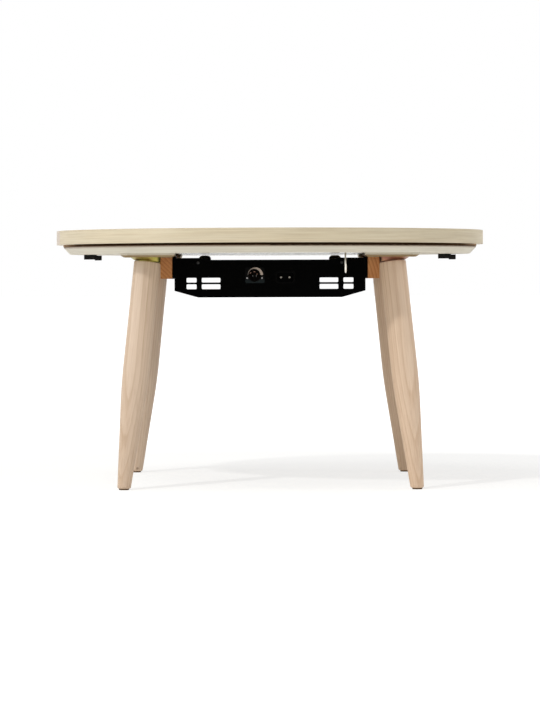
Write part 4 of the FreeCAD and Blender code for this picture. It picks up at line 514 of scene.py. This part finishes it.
finishes = {
    "top_laminate": makeTopLaminate(),
    "edge_strip": makeRimStrip("woodgrainEdgeStripIroned", {
        "roughness": 0.5,
        "stops": [(0.28, "c2b293"), (0.42, "cfc0a2"), (0.56, "d6c9ad"), (0.75, "dcd0b6")],
        "tint": (jointShare, "cdbfb4")}),
    "board_laminate": makeRimStrip("woodgrainBoardPressed", {
        "roughness": 0.6,
        "glossBelow": 0.3622,
        "glossHalfWidth": 0.152,
        "stops": [(0.28, "d8d0bf"), (0.42, "dfd8c7"), (0.56, "e4decd"), (0.75, "e9e4d5")],
        # Its top edge turns brown: partly bare brown chipboard, partly painted shade under the
        # top's overhang
        "tint": (heightShare(0.3700, 0.3736, 0.3739), "6e4824")}),
    "raw_poplar": makeBlockPoplar(),
    "rail_pine": makeRailPine(),
    "yellow_zinc": makeYellowZinc("yellowZincSteelPressed", [
        (0.30, "868539"), (0.45, "a69f4a"), (0.58, "b2a554"), (0.72, "967a42")]),
    # Bright zinc on rolled threads: light grey with small clear glints
    "zinc_screw": makePlatedMetal("zincPlatedSteelRolled", {
        "scale": 700.0, "shades": ("b4b4ac", "cfcfc9"), "rough": (0.25, 0.42)}),
    # The same zinc on pressed sheet: broader clouds, a little duller
    "zinc_plate": makePlatedMetal("zincPlatedSteelPressed", {
        "scale": 260.0, "shades": ("b2b3af", "cbccca"), "rough": (0.28, 0.45), "dent": 0.00002}),
    # Rolled along X: a near mirror with long faint lines
    "bright_aluminium": makePlatedMetal("aluminiumBrightRolled", {
        "draw": (0.04, 1, 1), "scale": 900.0, "shades": ("d6d7d9", "e9eaec"),
        "rough": (0.10, 0.22)}),
    # Burnt dull and brownish by its own heat
    "heating_wire": makePlatedMetal("resistanceWireOxidised", {
        "scale": 1200.0, "shades": ("5d5148", "8a7a6c"), "rough": (0.4, 0.6)}),
    # Plain drawn steel: mid grey, lines along Y
    "steel_spindle": makePlatedMetal("steelDrawn", {
        "draw": (1, 0.05, 1), "scale": 900.0, "shades": ("989896", "b4b4b2"),
        "rough": (0.25, 0.4)}),
    # Nickel on bent wire: warm and glossy, with a painted highlight on its lower bend
    "nickel_plate": makePlatedMetal("nickelPlatedWireBent", {
        "draw": (1, 1, 0.1), "scale": 500.0, "shades": ("8f8a7e", "a8a294"),
        "rough": (0.14, 0.26), "tint": (heightShare(0.352, 0.343), "f4efe4")}),
    # Baked heatproof enamel: nearly without light of its own, a trace of orange peel
    "black_enamel": makeMoulded("heatproofEnamelBaked", {
        "shades": ("010101", "030303"), "rough": (0.42, 0.55),
        "gritWidth": 0.0012, "grit": 0.00004, "specular": 0.015}),
    # Blackened steel: a shade lighter than the enamel, with a soft glint
    "black_screw": makeMoulded("blackenedSteelTurned", {
        "shades": ("0b0b0a", "1a1918"), "rough": (0.35, 0.5),
        "gritWidth": 0.0008, "specular": 0.4}),
    # Moulded nylon: black, satin, finely pitted
    "black_nylon": makeMoulded("nylonMoulded", {
        "shades": ("080807", "0e0d0c"), "rough": (0.45, 0.6),
        "gritWidth": 0.0009, "grit": 0.00003, "specular": 0.15}),
    # Phenolic resin: black and smooth, hardly any shine in its recess
    "phenolic": makeMoulded("phenolicMoulded", {
        "shades": ("030303", "070606"), "rough": (0.35, 0.5),
        "gritWidth": 0.0010, "specular": 0.03}),
    # Finely textured resin: matt black, its lower lip painted greyer as a highlight
    "bezel_resin": makeMoulded("resinMouldedFineTexture", {
        "shades": ("040404", "080809"), "rough": (0.5, 0.65),
        "gritWidth": 0.0006, "grit": 0.00004, "specular": 0.05,
        "tint": (heightShare(0.3230, 0.3205), "1e2426")}),
    # Smooth resin, handled: a brownish black without glare
    "knob_resin": makeMoulded("resinMouldedPolished", {
        "shades": ("080605", "0e0b0a"), "rough": (0.6, 0.7),
        "gritWidth": 0.0012, "specular": 0.004}),
    # Glossy heatproof resin, its crowns painted pale brown as a highlight
    "cap_resin": makeMoulded("heatproofResinMoulded", {
        "shades": ("16120e", "211c16"), "rough": (0.22, 0.32),
        "gritWidth": 0.0009, "grit": 0.00002, "tint": (heightShare(0.3530, 0.3585), "c8b494"),
        "specular": 1.0,
        "shader": {"Specular Tint": linearColour("f0d8b8")}}),
    # Fired steatite: chalky off-white
    "steatite": makeMoulded("steatiteFired", {
        "shades": ("d8d3c4", "e6e2d6"), "rough": (0.6, 0.8), "gritWidth": 0.0007, "grit": 0.00004}),
    # Vulcanised fibre: brick red, dull and slightly woolly
    "fibre_washer": makeMoulded("vulcanisedFibreCut", {
        "shades": ("6e2a1a", "823826"), "rough": (0.6, 0.75),
        "gritWidth": 0.0008, "grit": 0.00003}),
    # Silicone rubber: whitish, smooth, satin
    "silicone_lead": makeMoulded("siliconeRubberExtruded", {
        "shades": ("c8c5ba", "d8d5cb"), "rough": (0.5, 0.65), "gritWidth": 0.001}),
    # Braided glass sleeve: straw coloured and coarse
    "fuse_case": makeMoulded("glassSleeveBraided", {
        "shades": ("c2b48f", "d9cdac"), "rough": (0.6, 0.8), "gritWidth": 0.0006, "grit": 0.00008}),
    # Pressed felt: dark brown with a warm bloom of fibres, painted lighter at the sides where side
    # light reaches it
    "black_felt": makeMoulded("feltPressedDarkBrown", {
        "shades": ("170c05", "2a190c"), "rough": (0.9, 1.0),
        "gritWidth": 0.0006, "grit": 0.0002, "gritStrength": 0.9,
        "tint": (asideShare(0.300, 0.337), "bca48c"), "specular": 0.05,
        "shader": {"Sheen Weight": 0.45, "Sheen Tint": linearColour("b08457")}}),
    # The glides' felt: mid brown, quite dull
    "grey_felt": makeMoulded("feltPressedBrown", {
        "shades": ("5a452f", "6e563d"), "rough": (0.9, 1.0),
        "gritWidth": 0.0006, "grit": 0.0002, "gritStrength": 0.9, "specular": 0.05}),
    "quartz_glass": makeQuartz(),
}
print("materials ready:", len(finishes))


# Every node of the frame takes its finish; smooth shading and crisp edges come with it

nodeSlots = {row["node"]: row["material_slot"] for row in frame["record"]["subparts"]}
for name, node in nodes.items():
    if nodeSlots[name] in finishes:
        node.data.materials.clear()
        node.data.materials.append(finishes[nodeSlots[name]])

# The right plates come from a rosier bath
rosyZinc = makeYellowZinc("yellowZincSteelPressedRosy", [
    (0.30, "86604c"), (0.45, "9a6a56"), (0.58, "a87a5e"), (0.72, "8c7a48")])
for corner in ("front_right", "rear_right"):
    nodes["leg_plate_" + corner].data.materials[0] = rosyZinc
# Nickel deep in the socket: painted darker and greyer, as shade and a reflection of the dark recess
nodes["inlet_pins"].data.materials[0] = makePlatedMetal("nickelPlatedPinDrawn", {
    "draw": (1, 0.1, 1), "scale": 700.0, "shades": ("757169", "88847b"),
    "rough": (0.2, 0.32)})
print("frame dressed:", len(nodes))


# Shapes that repeat or follow a rule come from geometry trees

crispAngle = 32    # degrees: edges that bend more are shown sharp


def startTree(name, labels):
    tree = bpy.data.node_groups.new(name, "GeometryNodeTree")
    sockets = {"Geometry": "Geometry", **dict.fromkeys(labels, "Float"), "finish": "Material"}
    for label, kind in sockets.items():
        tree.interface.new_socket(label, in_out="INPUT", socket_type="NodeSocket" + kind)
    tree.interface.new_socket("Geometry", in_out="OUTPUT", socket_type="NodeSocketGeometry")
    given = addNode(tree, "NodeGroupInput").outputs
    return tree, {label: given[label] for label in sockets}


def endTree(tree, geometry, finish):
    whole = addNode(tree, "GeometryNodeRealizeInstances", {"Geometry": geometry})
    smooth = addNode(tree, "GeometryNodeSetShadeSmooth", {"Geometry": whole}, domain="FACE")
    bend = addNode(tree, "GeometryNodeInputMeshEdgeAngle").outputs["Unsigned Angle"]
    sharp = addNode(tree, "FunctionNodeCompare", {0: bend, 1: math.radians(crispAngle)},
                    operation="GREATER_THAN")
    crisp = addNode(tree, "GeometryNodeSetShadeSmooth", {
        "Geometry": smooth, "Selection": sharp, "Shade Smooth": False}, domain="EDGE")
    painted = addNode(tree, "GeometryNodeSetMaterial", {"Geometry": crisp, "Material": finish})
    addNode(tree, "NodeGroupOutput", {"Geometry": painted})


def growPiece(name, tree, base, sizes):
    piece = newObject(name, base)
    modifier = piece.modifiers.new(name, "NODES")
    modifier.node_group = tree
    for socket in tree.interface.items_tree:
        if socket.in_out == "INPUT" and socket.name in sizes:
            modifier[socket.identifier] = sizes[socket.name]
    grown = piece.evaluated_get(bpy.context.evaluated_depsgraph_get())
    mesh = bpy.data.meshes.new_from_object(grown)
    mesh.name = name
    piece.modifiers.clear()
    piece.data = mesh
    return piece


def partBoxes(name):
    # The lowest and highest corner of each separate solid in a node
    form = bmesh.new()
    form.from_mesh(nodes[name].data)
    bmesh.ops.remove_doubles(form, verts=form.verts, dist=1e-6)
    waiting, boxes = set(form.verts), []
    while waiting:
        island, edge = [], [waiting.pop()]
        while edge:
            vert = edge.pop()
            island.append(vert.co.copy())
            for link in vert.link_edges:
                other = link.other_vert(vert)
                if other in waiting:
                    waiting.remove(other)
                    edge.append(other)
        boxes.append([Vector(pick(co[i] for co in island) for i in range(3))
                      for pick in (min, max)])
    form.free()
    return sorted(boxes, key=lambda box: tuple(round(value, 5) for value in box[0]))


def standOnPoints(tree, points, shape):
    # Puts the shape on each point, its own Z along the point's "axis"
    aim = addNode(tree, "GeometryNodeInputNamedAttribute", {"Name": "axis"},
                  data_type="FLOAT_VECTOR")
    turned = addNode(tree, "FunctionNodeAlignRotationToVector", {"Vector": aim}, axis="Z")
    return addNode(tree, "GeometryNodeInstanceOnPoints", {
        "Points": points, "Instance": shape, "Rotation": turned})


def pointsWithAxes(name, points, axes):
    base = bpy.data.meshes.new(name)
    base.from_pydata(points, [], [])
    aim = base.attributes.new("axis", "FLOAT_VECTOR", "POINT")
    aim.data.foreach_set("vector", [value for axis in axes for value in axis])
    return base


# The legs

turnedLeg = {
    "topPlace": 0.18884,      # m from the middle to the centre of the leg's top, along X and Y
    "footPlace": 0.2246,      # and to the centre of its foot
    "topHeight": 0.3482,
    "soleHeight": 0.002,
    "leanAngle": 8.31,
    "topRadius": 0.0204,
    "straightLength": 0.1606,
    "blendLength": 0.0608,    # the stretch in which the straight part runs over into the taper
    "blendRadius": 0.95,
    "topRound": 0.0012,
    "footRound": 0.0024,
    "boreRadius": 0.00415,
    "boreDepth": 0.03815,
    "sidesAround": 64,
    "sidesOfBore": 32,
    "rowsAlong": 96,
    "pithAside": 0.035,       # m from the foot to the pith of the log that the leg is cut from
}
legCorners = {    # which way each leg stands along X and Y, and the direction of its pith
    "front_left": (-1, -1, 1),
    "front_right": (1, -1, 2),
    "rear_right": (1, 1, 3),
    "rear_left": (-1, 1, 4),
}
pinKnot = {
    "corner": "rear_left",
    "place": (-0.2222, 0.2140, 0.0070),
    "edge": 0.0030,
    "core": 0.0010,
    "strength": 0.6,
}


def knotShare(tree, place):
    # A pin knot just above the foot
    apart = addNode(tree, "ShaderNodeVectorMath", {0: place, 1: pinKnot["place"]},
                    operation="DISTANCE")
    return addNode(tree, "ShaderNodeMapRange", {
        0: apart.outputs["Value"], 1: pinKnot["edge"], 2: pinKnot["core"],
        4: pinKnot["strength"]})


def legWood(corner, axis):
    # Beech turned on a lathe, limed, lacquered matt: pale, faint long streaks, nearly no gloss
    sideX, sideY, seed = legCorners[corner]
    # The left legs take darker, greyer rings than the right ones
    rings = ("dec9b4", "dbc5af", "d1b9a1") if sideX < 0 else ("e6cdb4", "e3c9af", "dabda1")
    foot, aside = turnedLeg["footPlace"], turnedLeg["pithAside"]
    pith = (sideX * foot + aside * math.cos(seed), sideY * foot + aside * math.sin(seed), 0)
    return woodMaterial("limedBeechTurned" + str(seed), {
        "pith": pith, "turn": axis.to_track_quat("Z", "Y").to_euler(), "drawOut": 0.06,
        "ringWidth": 0.0042, "waver": 3.0, "waverScale": 0.7,
        "ringStops": [(0.0, rings[0]), (0.6, rings[1]), (0.92, rings[2]), (1.0, rings[1])],
        "fibreWidth": 0.0011,
        "fibreStops": [(0.30, "e3d7cb"), (0.50, "f7f3ee"), (0.72, "ffffff")],
        "fibreShare": 0.6,
        "cloudStops": [(0.35, "f0ebe5"), (0.65, "ffffff")],
        "pore": 0.00005,
        "tint": (knotShare, "6b4630") if corner == pinKnot["corner"] else None,
    }, {"Roughness": 0.62, "Coat Weight": 0.08, "Coat Roughness": 0.5})


def legTree():
    # The lathe's rule: straight, an arc, a straight taper, both ends rounded, the foot cut level
    tree, given = startTree("turnedLeg", [
        "length", "lean", "leanX", "leanY", "soleRadius", "topRadius", "straightLength",
        "blendLength", "blendRadius", "topRound", "footRound", "boreRadius", "boreDepth"])
    blank = addNode(tree, "GeometryNodeMeshCylinder", {
        "Vertices": turnedLeg["sidesAround"], "Side Segments": turnedLeg["rowsAlong"],
        "Radius": 1.0, "Depth": 1.0})
    position = addNode(tree, "GeometryNodeInputPosition")
    spot = addNode(tree, "ShaderNodeSeparateXYZ", {0: position}).outputs
    sums = {**given, "X": spot["X"], "Y": spot["Y"], "Z": spot["Z"]}
    steps = [    # a sum's name, its operation, and the names or numbers that it takes
        ("down", "SUBTRACT", 0.5, "Z"),
        ("down", "MULTIPLY", "down", math.pi),
        ("down", "COSINE", "down"),
        ("down", "MULTIPLY_ADD", "down", -0.5, 0.5),    # rows stand closer towards both ends
        ("towards", "MULTIPLY", "X", "leanX"),
        ("towardsY", "MULTIPLY", "Y", "leanY"),
        ("towards", "ADD", "towards", "towardsY"),
        ("towards", "MULTIPLY", "towards", "soleRadius"),
        ("slant", "TANGENT", "lean"),
        ("slant", "MULTIPLY", "slant", "towards"),
        ("whole", "SUBTRACT", "length", "slant"),
        ("down", "MULTIPLY", "down", "whole"),
        ("past", "SUBTRACT", "down", "straightLength"),
        ("arc", "MAXIMUM", "past", 0.0),
        ("arc", "MINIMUM", "arc", "blendLength"),
        ("arc", "MULTIPLY", "arc", "arc"),
        ("double", "MULTIPLY", "blendRadius", 2.0),
        ("arc", "DIVIDE", "arc", "double"),
        ("taper", "SUBTRACT", "past", "blendLength"),
        ("taper", "MAXIMUM", "taper", 0.0),
        ("slope", "DIVIDE", "blendLength", "blendRadius"),
        ("taper", "MULTIPLY", "taper", "slope"),
        ("thinner", "ADD", "arc", "taper"),
        ("radius", "SUBTRACT", "topRadius", "thinner"),
        ("upright", "COSINE", "lean"),
        ("rise", "SUBTRACT", "whole", "down"),
        ("rise", "MULTIPLY", "rise", "upright"),
    ]
    for fromEnd, size in (("down", "topRound"), ("rise", "footRound")):
        steps += [    # takes a quarter circle off the radius near this end
            ("inside", "SUBTRACT", size, fromEnd),
            ("inside", "MAXIMUM", "inside", 0.0),
            ("inside", "MULTIPLY", "inside", "inside"),
            ("left", "MULTIPLY", size, size),
            ("left", "SUBTRACT", "left", "inside"),
            ("left", "MAXIMUM", "left", 0.0),
            ("left", "SQRT", "left"),
            ("left", "SUBTRACT", size, "left"),
            ("radius", "SUBTRACT", "radius", "left"),
        ]
    steps += [
        ("outX", "MULTIPLY", "X", "radius"),
        ("outY", "MULTIPLY", "Y", "radius"),
        ("below", "MULTIPLY", "down", -1.0),
        ("drillLength", "MULTIPLY", "boreDepth", 2.0),
    ]
    for name, operation, *operands in steps:
        sums[name] = addNode(tree, "ShaderNodeMath", {
            index: sums.get(operand, operand) for index, operand in enumerate(operands)},
            operation=operation)
    place = addNode(tree, "ShaderNodeCombineXYZ", {
        "X": sums["outX"], "Y": sums["outY"], "Z": sums["below"]})
    turned = addNode(tree, "GeometryNodeSetPosition", {"Geometry": blank, "Position": place})
    drill = addNode(tree, "GeometryNodeMeshCylinder", {
        "Vertices": turnedLeg["sidesOfBore"], "Radius": given["boreRadius"],
        "Depth": sums["drillLength"]})
    bored = addNode(tree, "GeometryNodeMeshBoolean", {"Mesh 1": turned, "Mesh 2": drill},
                    operation="DIFFERENCE")
    endTree(tree, standOnPoints(tree, given["Geometry"], bored), given["finish"])
    return tree


def turnLegs():
    tree = legTree()
    lean = math.radians(turnedLeg["leanAngle"])
    length = (turnedLeg["topHeight"] - turnedLeg["soleHeight"]) / math.cos(lean)
    slope = turnedLeg["blendLength"] / turnedLeg["blendRadius"]
    tapered = length - turnedLeg["straightLength"] - turnedLeg["blendLength"] / 2
    footRadius = turnedLeg["topRadius"] - slope * tapered
    for corner, (sideX, sideY, _) in legCorners.items():
        name = "leg_" + corner
        leanX, leanY = -sideX / math.sqrt(2), -sideY / math.sqrt(2)
        axis = Vector((leanX * math.sin(lean), leanY * math.sin(lean), math.cos(lean)))
        top = Vector((sideX * turnedLeg["topPlace"], sideY * turnedLeg["topPlace"],
                      turnedLeg["topHeight"]))
        piece = growPiece(name + "_turned", tree, pointsWithAxes(name + "Spot", [top], [axis]), {
            **turnedLeg,
            "length": length, "lean": lean, "leanX": leanX, "leanY": leanY,
            "soleRadius": footRadius - turnedLeg["footRound"],
            "finish": legWood(corner, axis),
        })
        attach(piece, nodes[name]["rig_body"])
        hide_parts(name)
    print("legs turned:", len(legCorners))


turnLegs()


# The screws

# heads says which way they point, and footRadius is the head's where it meets the shank
smallScrew = {
    "slot": "black_screw", "headRadius": 0.00235, "footRadius": 0.0022, "headHeight": 0.0008,
    "dome": 0.0004, "shankRadius": 0.0015, "pitch": 0.0012, "recessWidth": 0.0006,
    "recessLength": 0.0026, "recessDepth": 0.0007,
}
screwSets = {
    "leg_plate_screws": {
        "heads": "down", "slot": "yellow_zinc", "headRadius": 0.0026, "footRadius": 0.00175,
        "headHeight": 0.0018, "dome": 0.0, "shankRadius": 0.00175, "pitch": 0.0018,
        "recessWidth": 0.0007, "recessLength": 0.0030, "recessDepth": 0.0009},
    "striker_screws": {
        "heads": "down", "slot": "zinc_screw", "headRadius": 0.0026, "footRadius": 0.0015,
        "headHeight": 0.0014, "dome": 0.0, "shankRadius": 0.0015, "pitch": 0.0016,
        "recessWidth": 0.0007, "recessLength": 0.0030, "recessDepth": 0.0008},
    "rail_screws": {
        "heads": "up", "slot": "zinc_screw", "headRadius": 0.0040, "footRadius": 0.0038,
        "headHeight": 0.0018, "dome": 0.0011, "shankRadius": 0.0019, "pitch": 0.0020,
        "recessWidth": 0.0009, "recessLength": 0.0044, "recessDepth": 0.0016},
    "panel_screws": {"heads": "endwise", **smallScrew},
    "guard_screws": {"heads": "sideways", **smallScrew},
    "heater_mount_screws": {
        "heads": "inward", "slot": "black_screw", "headRadius": 0.0038, "footRadius": 0.0036,
        "headHeight": 0.0014, "dome": 0.0008, "shankRadius": 0.0020, "pitch": 0.0020,
        "recessWidth": 0.0009, "recessLength": 0.0042, "recessDepth": 0.0013},
}
threadDepth = 0.2    # as a share of the shank's radius
screwFaces = {
    "sidesOfHead": 32,
    "sidesOfShank": 14,
    "rowsOfShank": 56,
}


def screwTree():
    # One cross-head screw, standing on the points it is given, its head along their "axis"
    tree, given = startTree("crossHeadScrews", [
        "headRadius", "footRadius", "headHeight", "dome", "shankRadius", "length",
        "pitch", "threadDepth", "recessWidth", "recessLength", "recessDepth"])
    position = addNode(tree, "GeometryNodeInputPosition")
    spot = addNode(tree, "ShaderNodeSeparateXYZ", {0: position}).outputs
    sums = {**given, "X": spot["X"], "Y": spot["Y"], "Z": spot["Z"]}
    for name, operation, *operands in (
            # The head's crown: a dome that is highest in the middle
            ("out", "MULTIPLY", "X", "X"),
            ("outY", "MULTIPLY", "Y", "Y"),
            ("out", "ADD", "out", "outY"),
            ("edge", "MULTIPLY", "headRadius", "headRadius"),
            ("crown", "DIVIDE", "out", "edge"),
            ("crown", "SUBTRACT", 1.0, "crown"),
            ("height", "DIVIDE", "Z", "headHeight"),
            ("crown", "MULTIPLY", "crown", "height"),
            ("crown", "MULTIPLY", "crown", "dome"),
            ("top", "ADD", "headHeight", "dome"),
            ("cut", "MULTIPLY", "recessDepth", 2.0),
            # The thread: a wave that climbs one pitch with each turn
            ("turn", "ARCTAN2", "Y", "X"),
            ("wave", "MULTIPLY", "Z", 2 * math.pi),
            ("wave", "DIVIDE", "wave", "pitch"),
            ("wave", "SUBTRACT", "wave", "turn"),
            ("wave", "SINE", "wave"),
            ("wave", "MULTIPLY_ADD", "wave", 0.5, -0.5),
            ("wave", "MULTIPLY", "wave", "threadDepth"),
            ("wave", "DIVIDE", "wave", "shankRadius"),
            # The point: the last stretch narrows to 0.4 of the shank
            ("tip", "MULTIPLY", "shankRadius", 2.0),
            ("tip", "DIVIDE", "Z", "tip"),
            ("tip", "MINIMUM", "tip", 1.0),
            ("tip", "MULTIPLY_ADD", "tip", 0.6, -0.6),
            ("narrower", "ADD", "wave", "tip"),
            ("drop", "MULTIPLY", "length", -1.0)):
        sums[name] = addNode(tree, "ShaderNodeMath", {
            index: sums.get(operand, operand) for index, operand in enumerate(operands)},
            operation=operation)
    head = addNode(tree, "GeometryNodeMeshCone", {
        "Vertices": screwFaces["sidesOfHead"], "Side Segments": 2, "Fill Segments": 5,
        "Radius Top": given["headRadius"], "Radius Bottom": given["footRadius"],
        "Depth": given["headHeight"]})
    lift = addNode(tree, "ShaderNodeCombineXYZ", {"Z": sums["crown"]})
    head = addNode(tree, "GeometryNodeSetPosition", {"Geometry": head, "Offset": lift})
    raised = addNode(tree, "ShaderNodeCombineXYZ", {"Z": sums["top"]})
    for wide, long in (("recessWidth", "recessLength"), ("recessLength", "recessWidth")):
        size = addNode(tree, "ShaderNodeCombineXYZ", {
            "X": given[wide], "Y": given[long], "Z": sums["cut"]})
        arm = addNode(tree, "GeometryNodeMeshCube", {"Size": size})
        arm = addNode(tree, "GeometryNodeTransform", {"Geometry": arm, "Translation": raised})
        head = addNode(tree, "GeometryNodeMeshBoolean", {"Mesh 1": head, "Mesh 2": arm},
                       operation="DIFFERENCE")
    shank = addNode(tree, "GeometryNodeMeshCone", {
        "Vertices": screwFaces["sidesOfShank"], "Side Segments": screwFaces["rowsOfShank"],
        "Radius Top": given["shankRadius"], "Radius Bottom": given["shankRadius"],
        "Depth": given["length"]})
    across = addNode(tree, "ShaderNodeCombineXYZ", {"X": spot["X"], "Y": spot["Y"]})
    narrow = addNode(tree, "ShaderNodeVectorMath", {0: across, "Scale": sums["narrower"]},
                     operation="SCALE")
    drop = addNode(tree, "ShaderNodeCombineXYZ", {"Z": sums["drop"]})
    shift = addNode(tree, "ShaderNodeVectorMath", {0: narrow, 1: drop}, operation="ADD")
    shank = addNode(tree, "GeometryNodeSetPosition", {"Geometry": shank, "Offset": shift})
    screw = addNode(tree, "GeometryNodeJoinGeometry")
    for part in (head, shank):
        tree.links.new(part.outputs[0], screw.inputs[0])
    endTree(tree, standOnPoints(tree, given["Geometry"], screw), given["finish"])
    return tree


def standScrews(name, kind, tree):
    points, axes = [], []
    for low, high in partBoxes(name):
        middle = (low + high) / 2
        along = {
            "down": Vector((0, 0, -1)),
            "up": Vector((0, 0, 1)),
            "endwise": Vector((0, math.copysign(1, middle.y), 0)),
            "sideways": Vector((math.copysign(1, middle.x), 0, 0)),
            "inward": Vector((-math.copysign(1, middle.x), 0, 0)),
        }[kind["heads"]]
        half = abs((high - low).dot(along)) / 2
        headDepth = kind["headHeight"] + kind["dome"]
        points.append(middle + along * (half - headDepth))
        axes.append(along)
        length = 2 * half - headDepth
    piece = growPiece(name + "Threaded", tree, pointsWithAxes(name + "Spots", points, axes), {
        **kind,
        "length": length,
        "threadDepth": threadDepth * kind["shankRadius"],
        "finish": finishes[kind["slot"]],
    })
    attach(piece, nodes[name]["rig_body"])
    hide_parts(name)


crossHeads = screwTree()
for name, kind in screwSets.items():
    standScrews(name, kind, crossHeads)
print("screws stood:", len(screwSets))


# The heating element

heatingCoil = {
    "wireRadius": 0.0004,
    "turns": 118.0,
    "stepsPerTurn": 14,
    "sidesOfWire": 6,
    "bareEnds": 0.004,    # m that the coil is shorter than its room in the tube
}


def windCoil():
    # Resistance wire wound in an even coil along the tube
    low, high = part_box("heating_element")
    tree, given = startTree("heatingCoil", [
        "coilRadius", "coilLength", "turns", "wireRadius"])
    turns = addNode(tree, "GeometryNodeCurveSpiral", {
        "Resolution": heatingCoil["stepsPerTurn"], "Rotations": given["turns"],
        "Start Radius": given["coilRadius"], "End Radius": given["coilRadius"],
        "Height": given["coilLength"]})
    half = addNode(tree, "ShaderNodeMath", {0: given["coilLength"], 1: -0.5},
                   operation="MULTIPLY")
    back = addNode(tree, "ShaderNodeCombineXYZ", {"X": half, "Z": (low.z + high.z) / 2})
    laid = addNode(tree, "GeometryNodeTransform", {
        "Geometry": turns, "Rotation": (0, math.pi / 2, 0), "Translation": back})
    section = addNode(tree, "GeometryNodeCurvePrimitiveCircle", {
        "Resolution": heatingCoil["sidesOfWire"], "Radius": given["wireRadius"]})
    wire = addNode(tree, "GeometryNodeCurveToMesh", {
        "Curve": laid, "Profile Curve": section, "Fill Caps": True})
    endTree(tree, wire, given["finish"])
    piece = growPiece("heatingCoilWound", tree, bpy.data.meshes.new("heatingCoilBase"), {
        **heatingCoil,
        "coilRadius": (high.z - low.z) / 2 - heatingCoil["wireRadius"],
        "coilLength": high.x - low.x - heatingCoil["bareEnds"],
        "finish": finishes["heating_wire"],
    })
    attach(piece, "root")
    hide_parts("heating_element")


windCoil()
print("coil wound")


# The dial's printed marks and the knob's painted highlights

dialMarks = {
    "centre": (-0.0228, 0.3285),     # of the crescent round the knob, as X and Z
    "outerRadius": 0.0119,
    "innerRadius": 0.0094,
    "innerShift": -0.0015,           # makes the crescent thin on the left and thick on the right
    "crescentSteps": 24,
    "dots": ((-0.0355, 0.3237), (-0.0123, 0.3237)),
    "dotRadius": 0.0014,
    "dotSteps": 20,
    "bezelFace": -0.1491,
    "thickness": 0.00012,
    # The knob's marks are painted highlights where its grip edges catch light, laid as thin pads
    "paintedGlints": (                       # X and Z, half length, half width, turn, the face it lies on
        (-0.0300, 0.3318, 0.0013, 0.0007, 40, -0.1522),
        (-0.0240, 0.3336, 0.0013, 0.0006, -20, -0.1576),
        (-0.0201, 0.3299, 0.0009, 0.0005, 30, -0.1522),
    ),
}


def inkAndGlintFinish(name, low, high, tint=None):
    # Ink stamped from a soft pad, matt and slightly uneven in cover; the knob's painted highlights
    # take the same finish
    return makeMoulded(name, {
        "shades": (low, high), "rough": (0.5, 0.7), "gritWidth": 0.0004, "specular": 0.1,
        "tint": tint})


def addMark(form, outline, face):
    # A thin pad of ink or of painted highlight: the outline, as X and Z pairs, standing just proud
    # of the face
    sheets = [[form.verts.new((x, depth, z)) for x, z in outline]
              for depth in (face, face - dialMarks["thickness"])]
    form.faces.new(sheets[0])
    form.faces.new(sheets[1])
    for index in range(len(outline)):
        after = (index + 1) % len(outline)
        form.faces.new((sheets[0][index], sheets[0][after], sheets[1][after], sheets[1][index]))


def layPrintAndGlints(name, marks, ink, body):
    form = bmesh.new()
    for outline, face in marks:
        addMark(form, outline, face)
    bmesh.ops.triangulate(form, faces=[face for face in form.faces if len(face.verts) > 4])
    bmesh.ops.recalc_face_normals(form, faces=form.faces)
    mesh = bpy.data.meshes.new(name)
    form.to_mesh(mesh)
    form.free()
    mesh.materials.append(ink)
    piece = newObject(name, mesh)
    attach(piece, body)


def arcPoints(centreX, centreZ, radius, steps, whole):
    # Points as X and Z, counter-clockwise from the right, over the whole angle in degrees
    turns = [math.radians(whole * step / steps) for step in range(steps + (whole < 360))]
    return [(centreX + radius * math.cos(turn), centreZ + radius * math.sin(turn))
            for turn in turns]


def markDial():
    centreX, centreZ = dialMarks["centre"]
    steps = dialMarks["crescentSteps"]
    crescent = arcPoints(centreX, centreZ, dialMarks["outerRadius"], steps, 180)
    crescent += reversed(arcPoints(centreX + dialMarks["innerShift"], centreZ,
                                   dialMarks["innerRadius"], steps, 180))
    dots = [arcPoints(x, z, dialMarks["dotRadius"], dialMarks["dotSteps"], 360)
            for x, z in dialMarks["dots"]]
    paintedGlints = []
    for x, z, long, wide, turn, face in dialMarks["paintedGlints"]:
        cos, sin = math.cos(math.radians(turn)), math.sin(math.radians(turn))
        paintedGlints.append(([(x + a * long * cos - b * wide * sin, z + a * long * sin + b * wide * cos)
                       for a, b in ((-1, -1), (1, -1), (1, 1), (-1, 1))], face))
    # The crescent's colour grows lighter towards its thick right end
    lighterRightEnd = (asideShare(0.0330, 0.0140), "c6b7ac")
    layPrintAndGlints("dialCrescentPrinted", [(crescent, dialMarks["bezelFace"])],
               inkAndGlintFinish("inkPadPrintedBeige", "776e69", "857b75", lighterRightEnd), "root")
    layPrintAndGlints("dialDotsPrinted", [(dot, dialMarks["bezelFace"]) for dot in dots],
               inkAndGlintFinish("inkPadPrintedGrey", "a4a4a8", "b4b4b8"), "root")
    layPrintAndGlints("knobGlintsPainted", paintedGlints, inkAndGlintFinish("paintedHighlightRose", "8a6a5e", "9c7a6c"),
               "dial")
    print("dial marked")


markDial()
